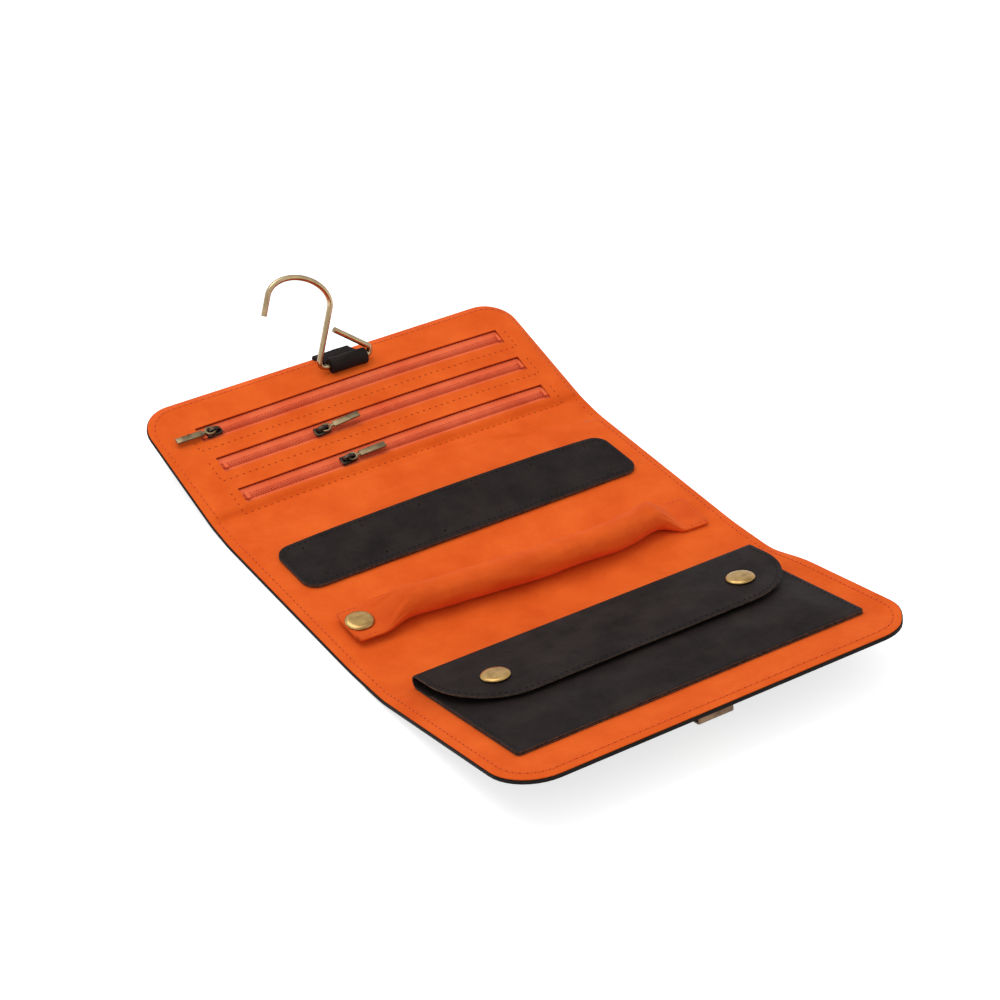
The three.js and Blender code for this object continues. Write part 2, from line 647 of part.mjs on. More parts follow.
/** A zip slider: a channel over the chain and a bridge that holds the pull. */
function sliderBody(plateHeight) {
  const inner = ZIP_CHAIN_WIDTH / 2 + RUNNING_GAP;
  const outer = inner + SLIDER_WALL;
  const skirt = TAPE_TOP + RUNNING_GAP - plateHeight;
  const channel = outline([[-outer, skirt], [-inner, skirt], [-inner, 0], [inner, 0], [inner, skirt],
    [outer, skirt], [outer, SLIDER_WALL], [-outer, SLIDER_WALL]]);
  const body = sideways(channel, -SLIDER_LENGTH / 2, SLIDER_LENGTH / 2);
  const long = BRIDGE_LENGTH / 2;
  const wide = BRIDGE_WIDTH / 2;
  const top = SLIDER_WALL + BRIDGE_OPENING;
  const sunk = SLIDER_WALL / 2;
  const arch = box([-long, long], [-wide, wide], [sunk, top + BRIDGE_WALL]);
  const under = box([-long + BRIDGE_WALL, long - BRIDGE_WALL], [-2 * wide, 2 * wide], [SLIDER_WALL, top]);
  return cut(join(body, arch), under);
}

/** The leather loop at the top edge, the sleeve inside it and the wire hook that turns in the sleeve. */
function addHanger() {
  const axis = new THREE.Group();
  axis.position.set(HANGER_CENTRE, TOP_PANEL_LENGTH - HANGER_FROM_EDGE, TOP_STACK + LAYER_GAP + LOOP_RADIUS);
  topPanel.add(axis);
  const half = LOOP_WIDTH / 2;

  const tailEnd = HANGER_FROM_EDGE - LOOP_TAIL_INSET;
  const tailTop = -LOOP_RADIUS + LOOP_TAIL_THICKNESS;
  const meet = Math.asin(tailTop / LOOP_RADIUS);
  const loop = new THREE.Shape();
  loop.moveTo(tailEnd, -LOOP_RADIUS);
  loop.lineTo(tailEnd, tailTop);
  loop.lineTo(LOOP_RADIUS * Math.cos(meet), tailTop);
  loop.absarc(0, 0, LOOP_RADIUS, meet, 1.5 * Math.PI, false);
  loop.closePath();
  loop.holes.push(circle(LOOP_BORE));
  piece(axis, 'hanger_loop', sideways(loop, -half, half, ROUND_SIDES / 2), leather);

  const sleeve = new THREE.Shape();
  sleeve.absarc(0, 0, SLEEVE_RADIUS, 0, 2 * Math.PI, false);
  sleeve.holes.push(circle(SLEEVE_BORE));
  piece(axis, 'hook_sleeve', sideways(sleeve, -half, half, ROUND_SIDES / 2), leather);

  const upright = new THREE.Group();
  upright.rotation.x = -radians(2 * UPPER_REST_BEND + HOOK_REST_LEAN);
  axis.add(upright);
  piece(upright, 'hanger_hook', wireAlong(hookRoute(), HOOK_STEPS), wire);
}

/** A round hole for an outline. */
function circle(radius) {
  const path = new THREE.Path();
  path.absarc(0, 0, radius, 0, 2 * Math.PI, true);
  return path;
}

/** The hook's centre line in its own X and Z plane: tail, base, shank, arch and tip. */
function hookRoute() {
  const at = (x, z) => new THREE.Vector3(x, 0, z);
  const tail = radians(90 + HOOK_TAIL_LEAN);
  const lean = radians(HOOK_SHANK_LEAN);
  const right = at(HOOK_BASE_RIGHT, 0);
  const left = at(-HOOK_BASE_LEFT, 0);
  const knee = at(HOOK_BASE_RIGHT, HOOK_TAIL_RISE);
  const tailEnd = knee.clone().addScaledVector(at(Math.cos(tail), Math.sin(tail)), HOOK_TAIL_LENGTH);
  const upwards = at(Math.sin(lean), Math.cos(lean));
  const shankTop = left.clone().addScaledVector(upwards, HOOK_SHANK_LENGTH);
  const route = new THREE.CurvePath();
  const bends = [HOOK_TAIL_BEND, HOOK_TAIL_BEND, HOOK_SHANK_BEND];
  addRounded(route, [tailEnd, knee, right, left, shankTop], bends);

  const skewed = lean + radians(HOOK_ARCH_SKEW);
  const across = at(-Math.cos(skewed), Math.sin(skewed));
  const centre = shankTop.clone().addScaledVector(across, HOOK_ARCH_HALF_WIDTH);
  const steps = 22;
  let last = shankTop;
  for (let step = 1; step <= steps; step += 1) {
    const angle = (Math.PI * step) / steps;
    const next = centre.clone().addScaledVector(across, -HOOK_ARCH_HALF_WIDTH * Math.cos(angle))
      .addScaledVector(upwards, HOOK_ARCH_RISE * Math.sin(angle));
    route.add(new THREE.LineCurve3(last, next));
    last = next;
  }
  route.add(new THREE.LineCurve3(last, last.clone().addScaledVector(upwards, -HOOK_TIP_LENGTH)));
  return route;
}

/** Adds straight runs between corners to a route, with a round bend at each corner between. */
function addRounded(route, corners, radii) {
  let from = corners[0];
  for (let order = 1; order < corners.length - 1; order += 1) {
    const corner = corners[order];
    const before = corners[order - 1].clone().sub(corner).normalize();
    const after = corners[order + 1].clone().sub(corner).normalize();
    const trim = radii[order - 1] / Math.tan(before.angleTo(after) / 2);
    const start = corner.clone().addScaledVector(before, trim);
    const end = corner.clone().addScaledVector(after, trim);
    route.add(new THREE.LineCurve3(from, start));
    route.add(new THREE.QuadraticBezierCurve3(start, corner, end));
    from = end;
  }
  route.add(new THREE.LineCurve3(from, corners[corners.length - 1]));
}

/** A round wire along a route. */
function wireAlong(route, steps) {
  const section = new THREE.Shape();
  section.absarc(0, 0, WIRE_RADIUS, 0, 2 * Math.PI, false);
  const options = { steps, extrudePath: route, bevelEnabled: false, curveSegments: WIRE_SIDES / 2 };
  return new THREE.ExtrudeGeometry(section, options);
}

/** The flat pouch: a back with a rear wall, a front sewn on three sides, and a flap with two snaps. */
function addFlapPouch() {
  const group = new THREE.Group();
  group.position.set(0, POUCH_FROM_FOLD, PANEL_STACK);
  bottomPanel.add(group);
  const half = POUCH_WIDTH / 2;
  const rear = POUCH_LEATHER;
  const wallTop = FLAP_BASE - LAYER_GAP;
  const section = outline([[0, LAYER_GAP], [POUCH_LENGTH, LAYER_GAP], [POUCH_LENGTH, POUCH_BACK_TOP],
    [rear, POUCH_BACK_TOP], [rear, wallTop], [0, wallTop]]);
  piece(group, 'pouch_back', sideways(section, -half, half), leather);

  const front = box([-half, half], [POUCH_MOUTH, POUCH_LENGTH], [POUCH_RIM_BASE, POUCH_FRONT_TOP]);
  const inside = box([-half + POUCH_SEAM, half - POUCH_SEAM],
    [POUCH_MOUTH - CUT_OVERRUN, POUCH_LENGTH - POUCH_SEAM], [POUCH_RIM_BASE - CUT_OVERRUN, POUCH_FRONT_BASE]);
  piece(group, 'pouch_front', cut(front, inside), leather);

  const spread = half - FLAP_SNAP_FROM_SIDE;
  let flap = slab(tongue(POUCH_WIDTH, 0, FLAP_LENGTH, FLAP_CORNER_RADIUS), FLAP_BASE, FLAP_TOP);
  for (const [side, x] of [['right', -spread], ['left', spread]]) {
    const parts = snapSet(POUCH_FRONT_TOP, FLAP_BASE, FLAP_TOP);
    const place = (geometry) => geometry.translate(x, FLAP_SNAP_FROM_HINGE, 0);
    flap = cut(flap, place(parts.hole));
    piece(group, `flap_${side}_cap`, place(parts.cap), brass);
    piece(group, `flap_${side}_socket`, place(parts.socket), brass);
    piece(group, `flap_${side}_stud`, place(parts.stud), brass);
  }
  piece(group, 'pouch_flap', flap, leather);
}

/** Where the clasp's web stands, and where its rivets go. */
function claspPlace() {
  const web = BOTTOM_PANEL_LENGTH - CLASP_FROM_EDGE;
  const rivetLine = web - CLASP_RETURN_LENGTH - RIVET_FROM_RETURN;
  const rivets = [CLASP_OFFSET - RIVET_SPREAD / 2, CLASP_OFFSET + RIVET_SPREAD / 2];
  return { web, rivetLine, rivets };
}

/** The clasp: a bent metal plate with a channel that opens away from the panel's edge. */
function addClasp() {
  const { web, rivetLine, rivets } = claspPlace();
  const top = -LAYER_GAP;
  const flange = top - CLASP_METAL;
  const floor = flange - CLASP_CHANNEL;
  const bottom = floor - CLASP_METAL;
  const inner = web - CLASP_METAL;
  const section = outline([[web - CLASP_BASE_LENGTH, flange], [inner, flange], [inner, floor],
    [web - CLASP_RETURN_LENGTH, floor], [web - CLASP_RETURN_LENGTH, bottom], [web, bottom], [web, top],
    [web - CLASP_BASE_LENGTH, top]]);
  const from = CLASP_OFFSET - CLASP_WIDTH / 2;
  const hole = RIVET_DIAMETER + 2 * LAYER_GAP;
  const holes = rivets.map((x) => post(hole, flange - CUT_OVERRUN, top + CUT_OVERRUN, x, rivetLine,
    WIRE_SIDES));
  piece(bottomPanel, 'clasp_hook', cut(sideways(section, from, from + CLASP_WIDTH), ...holes), bronze);
  rivets.forEach((x, order) => {
    const head = RIVET_HEAD_DIAMETER / 2;
    const shank = RIVET_DIAMETER / 2;
    const seat = flange - LAYER_GAP;
    const profile = [[0, seat - RIVET_HEAD], [head, seat - RIVET_HEAD], [head, seat], [shank, seat],
      [shank, COVER_THICKNESS], [0, COVER_THICKNESS]];
    const name = order === 0 ? 'clasp_right_rivet' : 'clasp_left_rivet';
    piece(bottomPanel, name, turned(profile, x, rivetLine, WIRE_SIDES), bronze);
  });
}

/** The elastic loop that is drawn over the clasp when the pouch is closed. */
function addClosingLoop() {
  const inner = CLASP_WIDTH / 2 + ELASTIC_SIDE_GAP;
  const outer = inner + ELASTIC_BAND;
  const near = UPPER_SPINE_WIDTH - ELASTIC_SEAM;
  const far = UPPER_SPINE_WIDTH + ELASTIC_REACH;
  const shape = tongue(2 * outer, near, far, ELASTIC_BAND);
  shape.holes.push(rectangle(-inner, inner, UPPER_SPINE_WIDTH, far - ELASTIC_BAND));
  const top = -LAYER_GAP;
  const band = slab(shape, top - ELASTIC_THICKNESS, top).translate(-CLASP_OFFSET, 0, 0);
  piece(upperSpine, 'closing_loop', band, leather);
}

export default pouch;
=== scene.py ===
"""Dresses the folding jewelry pouch.

It has a cover, a lining, zips, a hook, an earring strip, a ring roll, a flap pouch, a clasp and its loop.
Sizes are in millimetres on the bench and are turned into metres when a piece is finished.
"""
import json
import logging
import math
from dataclasses import dataclass
from enum import Enum
from functools import cached_property
from typing import Callable, Iterator, Sequence

import bmesh
import bpy
import numpy as np
from mathutils import Matrix, Vector, noise

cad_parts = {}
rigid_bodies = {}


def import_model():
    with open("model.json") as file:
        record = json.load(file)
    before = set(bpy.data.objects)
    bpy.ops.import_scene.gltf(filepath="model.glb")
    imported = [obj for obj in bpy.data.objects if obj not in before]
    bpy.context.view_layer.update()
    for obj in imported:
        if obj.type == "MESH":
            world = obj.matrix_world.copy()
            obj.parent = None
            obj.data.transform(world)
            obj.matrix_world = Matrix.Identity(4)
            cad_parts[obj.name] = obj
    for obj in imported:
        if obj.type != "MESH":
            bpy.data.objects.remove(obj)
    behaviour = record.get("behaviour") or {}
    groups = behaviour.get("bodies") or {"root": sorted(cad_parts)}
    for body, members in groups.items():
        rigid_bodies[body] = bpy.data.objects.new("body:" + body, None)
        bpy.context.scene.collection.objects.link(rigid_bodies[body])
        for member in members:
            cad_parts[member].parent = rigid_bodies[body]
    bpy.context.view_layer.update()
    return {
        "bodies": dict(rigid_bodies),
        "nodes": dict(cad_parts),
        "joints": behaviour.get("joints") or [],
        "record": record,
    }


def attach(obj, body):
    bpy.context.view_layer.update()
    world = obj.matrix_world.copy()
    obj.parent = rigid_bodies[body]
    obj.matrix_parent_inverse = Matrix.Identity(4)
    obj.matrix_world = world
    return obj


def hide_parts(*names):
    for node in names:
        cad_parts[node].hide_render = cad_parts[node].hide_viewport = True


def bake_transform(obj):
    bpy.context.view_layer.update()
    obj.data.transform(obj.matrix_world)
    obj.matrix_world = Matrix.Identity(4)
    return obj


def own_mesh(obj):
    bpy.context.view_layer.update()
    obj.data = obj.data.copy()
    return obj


LOG = logging.getLogger("pouch")
MM = 0.001
NEAR = 1e-4
Rule = Callable[[Vector], Vector]
Height = Callable[[float, float], float]
Point = tuple[float, float]
Span = tuple[float, float]
Point3 = tuple[float, float, float]
Shade = tuple[int, int, int]
Colour = tuple[float, float, float, float]
Line = Sequence[Point]
Piece = bpy.types.Object
Material = bpy.types.Material
Tree = bpy.types.NodeTree
Socket = bpy.types.NodeSocket


def ease(value: float) -> float:
    """Runs smoothly from 0 to 1 while the value does."""
    share = min(max(value, 0.0), 1.0)
    return share * share * (3.0 - 2.0 * share)


def tint(red: int, green: int, blue: int) -> Colour:
    """Turns a colour as it is seen into the values that shaders take.

    Args:
        red: Red, from 0 to 255.
        green: Green, from 0 to 255.
        blue: Blue, from 0 to 255.

    Returns:
        The linear colour with full alpha.
    """
    def light(part: int) -> float:
        """One channel's linear value."""
        share = part / 255.0
        return share / 12.92 if share <= 0.04045 else ((share + 0.055) / 1.055) ** 2.4
    return light(red), light(green), light(blue), 1.0


# ---- Finishes ----


class Slot(str, Enum):
    """The record's material slots."""

    COVER = "cover_leather"
    TRIM = "trim_leather"
    LINING = "lining_twill"
    TAPE = "zip_tape"
    ELASTIC = "elastic"
    WADDING = "wadding"
    BRASS = "snap_brass"
    ANTIQUE = "antique_brass"
    BRONZE = "dark_bronze"
    WIRE = "hook_wire"


class Nodes:
    """A short way to place and join the nodes of one tree."""

    def __init__(self, tree: Tree) -> None:
        """Takes the tree that is to be filled."""
        self.tree = tree

    def feed(self, socket: Socket, value: object) -> None:
        """Joins an output to an input, or sets the input's value.

        Args:
            socket: The input.
            value: An output socket or a plain value.
        """
        if isinstance(value, Socket):
            self.tree.links.new(value, socket)
        else:
            socket.default_value = value

    def add(self, kind: str, values: dict | None = None, **settings: object) -> bpy.types.Node:
        """Places a node.

        Args:
            kind: The node's type name, without the ShaderNode prefix.
            values: Values or output sockets for its inputs, by input name or number.
            **settings: The node's own settings.

        Returns:
            The node.
        """
        node = self.tree.nodes.new("ShaderNode" + kind)
        for name, value in settings.items():
            setattr(node, name, value)
        for key, value in (values or {}).items():
            self.feed(node.inputs[key], value)
        return node

    def math(self, operation: str, *values: object) -> Socket:
        """Places a Math node and gives its output."""
        return self.add("Math", dict(enumerate(values)), operation=operation).outputs[0]

    def plus(self, first: object, second: object) -> Socket:
        """Adds two values."""
        return self.math("ADD", first, second)

    def times(self, first: object, second: object) -> Socket:
        """Multiplies two values."""
        return self.math("MULTIPLY", first, second)

    def ramp(self, value: Socket, low: float, high: float, to_low: float = 0.0,
             to_high: float = 1.0) -> Socket:
        """Maps a value from one range to another, clamped."""
        return self.add("MapRange", {0: value, 1: low, 2: high, 3: to_low, 4: to_high}).outputs[0]

    def mix(self, share: object, first: object, second: object) -> Socket:
        """Mixes two colours and gives the result."""
        return self.add("Mix", {0: share, 6: first, 7: second}, data_type="RGBA").outputs[2]

    def cloud(self, place: Socket, scale: object, detail: float, roughness: float = 0.5) -> Socket:
        """Places a noise texture and gives its value."""
        values = {"Vector": place, "Scale": scale, "Detail": detail, "Roughness": roughness}
        return self.add("TexNoise", values).outputs[0]


class Effects:
    """Shader node groups that more than one finish uses, each built once."""

    def __init__(self) -> None:
        """Builds every group."""
        self.grain = self._grain()
        self.twill = self._twill()
        self.mottle = self._mottle()
        self.rub = self._rub()

    @staticmethod
    def _open(name: str, inputs: dict[str, object],
              outputs: Sequence[str]) -> tuple[Nodes, dict[str, Socket], dict[str, Socket]]:
        """Opens a new group with its sockets, of which the first is a Vector.

        Args:
            name: The group's name.
            inputs: Default values of its other inputs by name, numbers or colours.
            outputs: The names of its outputs; Color is a colour and the rest are numbers.

        Returns:
            The nodes helper, the group's input sockets and its output sockets, both by name.
        """
        tree = bpy.data.node_groups.new(name, "ShaderNodeTree")
        tree.interface.new_socket("Vector", in_out="INPUT", socket_type="NodeSocketVector")
        for key, value in inputs.items():
            kind = "NodeSocketColor" if isinstance(value, tuple) else "NodeSocketFloat"
            tree.interface.new_socket(key, in_out="INPUT", socket_type=kind).default_value = value
        for key in outputs:
            kind = "NodeSocketColor" if key == "Color" else "NodeSocketFloat"
            tree.interface.new_socket(key, in_out="OUTPUT", socket_type=kind)
        start, end = tree.nodes.new("NodeGroupInput"), tree.nodes.new("NodeGroupOutput")
        return Nodes(tree), {s.name: s for s in start.outputs}, {s.name: s for s in end.inputs}

    def _grain(self) -> Tree:
        """Leather grain: fine pebbles, pores and a slow dull-to-shiny change.

        Returns:
            The group.
        """
        kit, given, out = self._open("leather_grain", {"Scale": 900.0}, ("Height", "Dull"))
        place, scale = given["Vector"], given["Scale"]
        cells = kit.add("TexVoronoi", {"Vector": place, "Scale": scale}, feature="SMOOTH_F1")
        fine = kit.cloud(place, kit.times(scale, 0.35), 4.0)
        slow = kit.cloud(place, kit.times(scale, 0.035), 5.0, 0.62)
        kit.feed(out["Height"], kit.plus(kit.times(cells.outputs["Distance"], 0.55), fine))
        kit.feed(out["Dull"], kit.ramp(slow, 0.3, 0.7))
        return kit.tree

    def _twill(self) -> Tree:
        """The slanting ribs of a woven cloth, with uneven threads.

        Returns:
            The group.
        """
        kit, given, out = self._open("twill_ribs", {"Ribs": 1500.0, "Slant": 1.0}, ("Height", "Tone"))
        place, ribs = given["Vector"], given["Ribs"]
        x, y, _ = kit.add("SeparateXYZ", {"Vector": place}).outputs
        along = kit.plus(x, kit.times(y, given["Slant"]))
        cross = kit.math("SUBTRACT", y, x)
        rib = kit.math("PINGPONG", kit.times(along, ribs), 0.5)
        thread = kit.math("PINGPONG", kit.times(cross, kit.times(ribs, 1.7)), 0.5)
        slub = kit.cloud(place, 420.0, 3.0)
        weave = kit.plus(kit.times(rib, 1.4), kit.times(thread, 0.5))
        tone = kit.plus(kit.times(rib, 0.8), kit.times(slub, 0.6))
        kit.feed(out["Height"], kit.plus(weave, kit.times(slub, 0.5)))
        kit.feed(out["Tone"], kit.ramp(tone, 0.2, 0.8))
        return kit.tree

    def _mottle(self) -> Tree:
        """A slow drift between two colours.

        Returns:
            The group.
        """
        values = {"Scale": 60.0, "Deep": (0.1, 0.1, 0.1, 1.0), "Pale": (0.2, 0.2, 0.2, 1.0)}
        kit, given, out = self._open("mottle", values, ("Color", "Mask"))
        mask = kit.ramp(kit.cloud(given["Vector"], given["Scale"], 6.0, 0.65), 0.32, 0.68)
        kit.feed(out["Color"], kit.mix(mask, given["Deep"], given["Pale"]))
        kit.feed(out["Mask"], mask)
        return kit.tree

    def _rub(self) -> Tree:
        """Handling marks on metal: faint scratches and darker, tarnished spots.

        Returns:
            The group.
        """
        kit, given, out = self._open("rubbed_metal", {"Scale": 500.0}, ("Marks", "Tarnish"))
        place, scale = given["Vector"], given["Scale"]
        turn = kit.add("Mapping", {"Vector": place, "Scale": (0.12, 1.0, 1.0),
                                   "Rotation": (0.3, 0.2, 0.7)})
        marks = kit.cloud(turn.outputs[0], scale, 5.0)
        spots = kit.cloud(place, kit.times(scale, 0.4), 4.0)
        kit.feed(out["Marks"], kit.ramp(marks, 0.3, 0.7))
        kit.feed(out["Tarnish"], kit.ramp(spots, 0.42, 0.66))
        return kit.tree


class Paint(Nodes):
    """The nodes of one material, with its Principled shader."""

    def __init__(self, material: Material) -> None:
        """Opens the material's own tree."""
        material.use_nodes = True
        super().__init__(material.node_tree)
        self.shader = self.tree.nodes["Principled BSDF"]

    @cached_property
    def place(self) -> Socket:
        """Where a point is on its piece."""
        return self.add("TexCoord").outputs["Object"]

    def group(self, tree: Tree, **values: object) -> bpy.types.Node:
        """Places a shared group on the piece's points, with its own values."""
        return self.add("Group", {"Vector": self.place, **values}, node_tree=tree)

    def put(self, values: dict[str, object]) -> None:
        """Joins or sets inputs of the shader by name."""
        for name, value in values.items():
            self.feed(self.shader.inputs[name], value)

    def emboss(self, height: Socket, strength: float, distance: float) -> None:
        """Joins a height to the shader's normal through a Bump node."""
        bump = self.add("Bump", {"Height": height, "Strength": strength, "Distance": distance})
        self.put({"Normal": bump.outputs[0]})


@dataclass(frozen=True)
class Finish:
    """What every finish shares: its material's name, and its deep and its pale colour."""

    name: str
    deep: Colour
    pale: Colour

    def make(self, effects: Effects) -> Material:
        """Makes the material.

        Args:
            effects: The shared node groups.

        Returns:
            The material.
        """
        material = bpy.data.materials.new(self.name)
        self.dress(Paint(material), effects)
        return material

    def dress(self, paint: Paint, effects: Effects) -> None:
        """Joins the finish's nodes to the shader.

        Args:
            paint: The material's nodes.
            effects: The shared node groups.
        """
        raise NotImplementedError


@dataclass(frozen=True)
class Leather(Finish):
    """Matte dyed leather."""

    scale: float = 1100.0
    drift: float = 55.0
    wear: float = 0.35
    rough: Span = (0.5, 0.72)
    gloss: float = 0.07
    bump: float = 0.35
    relief: float = 0.00025

    def dress(self, paint: Paint, effects: Effects) -> None:
        """Gives a mottled colour, a grain that changes the gloss, and fine relief."""
        grain = paint.group(effects.grain, Scale=self.scale)
        colour = paint.group(effects.mottle, Scale=self.drift, Deep=self.deep, Pale=self.pale)
        worn = paint.ramp(grain.outputs["Height"], 0.35, 1.0, 0.0, self.wear)
        paint.put({"Base Color": paint.mix(worn, colour.outputs["Color"], self.pale),
                   "Roughness": paint.ramp(grain.outputs["Dull"], 0.0, 1.0, *self.rough),
                   "Specular IOR Level": self.gloss})
        paint.emboss(grain.outputs["Height"], self.bump, self.relief)


@dataclass(frozen=True)
class Cloth(Finish):
    """Woven cloth, with ribs that slant or run straight across."""

    ribs: float = 1000.0
    slant: float = 1.0
    bump: float = 0.45
    drift: float = 38.0
    # How much darker the grooves between the ribs are painted, as shade.
    shade: float = 0.3
    rough: Span = (0.92, 0.74)
    gloss: float = 0.1
    sheen: float = 0.03
    relief: float = 0.00018

    def dress(self, paint: Paint, effects: Effects) -> None:
        """Gives a colour that drifts, tone from uneven threads, painted shade in the grooves between the
        ribs, soft gloss and ribbed relief.
        """
        weave = paint.group(effects.twill, Ribs=self.ribs, Slant=self.slant)
        colour = paint.group(effects.mottle, Scale=self.drift, Deep=self.deep, Pale=self.pale)
        # Painted shade in the grooves between the ribs, plus real tone where the threads are uneven.
        between = paint.ramp(weave.outputs["Tone"], 0.0, 1.0, self.shade, 0.0)
        paint.put({"Base Color": paint.mix(between, colour.outputs["Color"], self.deep),
                   "Roughness": paint.ramp(weave.outputs["Tone"], 0.0, 1.0, *self.rough),
                   "Specular IOR Level": self.gloss, "Sheen Weight": self.sheen,
                   "Sheen Roughness": 0.5})
        paint.emboss(weave.outputs["Height"], self.bump, self.relief)


@dataclass(frozen=True)
class Metal(Finish):
    """Handled metal: scratched and tarnished in spots; where it has a rim, painted shade darkens the sides
    that turn away from the view, standing in for the dark reflections along a round wire.
    """

    rough: Span = (0.2, 0.4)
    tarnish: float = 0.6
    # How strongly the sides that turn away from the view are painted dark, as shade.
    rim: float = 0.0
    scale: float = 500.0
    bump: float = 0.06
    relief: float = 0.0001

    def dress(self, paint: Paint, effects: Effects) -> None:
        """Gives bright metal with darker spots, scratches that change the gloss, and painted shade towards
        its turned sides.
        """
        rub = paint.group(effects.rub, Scale=self.scale)
        spots = paint.times(rub.outputs["Tarnish"], self.tarnish)
        # Painted shade: the colour darkens to the deep tint towards grazing views, as the dark reflections
        # along a round wire.
        turned = paint.add("LayerWeight", {"Blend": 0.5}).outputs["Facing"]
        edge = paint.ramp(turned, 0.35, 0.9, 0.0, self.rim)
        paint.put({"Base Color": paint.mix(edge, paint.mix(spots, self.pale, self.deep), self.deep),
                   "Roughness": paint.ramp(rub.outputs["Marks"], 0.0, 1.0, *self.rough),
                   "Metallic": 1.0})
        paint.emboss(rub.outputs["Marks"], self.bump, self.relief)


@dataclass(frozen=True)
class Fibre(Finish):
    """Fibrous stuff: raw leather edges, thread, board and wadding."""

    scale: float = 700.0
    rough: Span = (0.95, 0.8)
    gloss: float = 0.2
    bump: float = 0.4
    relief: float = 0.0002

    def dress(self, paint: Paint, effects: Effects) -> None:
        """Gives colour and relief that change from fibre to fibre."""
        drift = paint.group(effects.mottle, Scale=self.scale, Deep=self.deep, Pale=self.pale)
        paint.put({"Base Color": drift.outputs["Color"],
                   "Roughness": paint.ramp(drift.outputs["Mask"], 0.0, 1.0, *self.rough),
                   "Specular IOR Level": self.gloss})
        paint.emboss(drift.outputs["Mask"], self.bump, self.relief)


class Palette:
    """Every finish of the pouch, made once."""

    def __init__(self) -> None:
        """Makes the materials."""
        effects = Effects()

        def make(kind: type[Finish], name: str, deep: Shade, pale: Shade, *rest: object) -> Material:
            """Makes one material."""
            return kind(name, tint(*deep), tint(*pale), *rest).make(effects)

        self.cover = make(Leather, "cover_leather_black", (18, 16, 16), (38, 34, 33))
        self.trim = make(Leather, "trim_leather_black", (20, 16, 16), (44, 37, 35), 1000.0)
        self.edge = make(Fibre, "raw_leather_edge", (50, 40, 34), (98, 79, 67))
        self.hide = [self.trim, self.edge]
        self.lining = make(Cloth, "lining_orange_twill", (224, 86, 21), (244, 107, 35))
        self.tape = make(Cloth, "zip_tape_coral", (230, 92, 50), (248, 122, 78), 1900.0, 0.0)
        self.chain = make(Cloth, "zip_chain_coral", (212, 80, 46), (242, 120, 80), 2600.0, 1.0, 0.2)
        # The roll's twill is the lining's twill painted a little darker, as shade on the roll.
        self.roll = make(Cloth, "roll_orange_twill", (216, 80, 22), (240, 102, 34), 900.0)
        self.elastic = make(Cloth, "elastic_black", (24, 22, 22), (44, 41, 40), 1200.0, 0.0)
        # Rust thread for the chain stitches and the tape rows; the same material paints the shade in the edge
        # seam's needle holes and the shadow lines under the window hems.
        self.rust_thread_and_shade = make(Fibre, "thread_rust", (128, 30, 8), (168, 48, 14), 1400.0)
        self.orange_thread = make(Fibre, "thread_orange", (220, 84, 34), (244, 116, 60), 1400.0)
        self.black_thread = make(Fibre, "thread_black", (14, 12, 12), (32, 28, 27), 1400.0)
        self.board = make(Fibre, "stiffening_board", (120, 102, 80), (150, 130, 104), 240.0)
        self.wadding = make(Fibre, "wadding_white", (222, 216, 202), (242, 238, 228), 160.0)
        self.brass = make(Metal, "snap_brass_satin", (128, 98, 56), (196, 160, 100), (0.24, 0.38))
        self.antique = make(Metal, "antique_brass", (76, 65, 48), (132, 116, 88), (0.28, 0.46), 0.8)
        self.bronze = make(Metal, "dark_bronze", (34, 29, 27), (72, 62, 54), (0.26, 0.44), 0.8)
        self.clasp = make(Metal, "clasp_bronze", (82, 63, 49), (126, 101, 80), (0.34, 0.54), 0.8)
        # The wire's 0.9 paints its turned sides dark, as shade.
        self.wire = make(Metal, "hook_wire_brass", (78, 58, 36), (192, 170, 132), (0.18, 0.3), 0.25, 0.9)


# ---- The pouch laid out ----


@dataclass(frozen=True)
class Fold:
    """A crease across the pouch: its place along the length, its bend in degrees, its half-width."""

    at: float
    bend: float
    reach: float


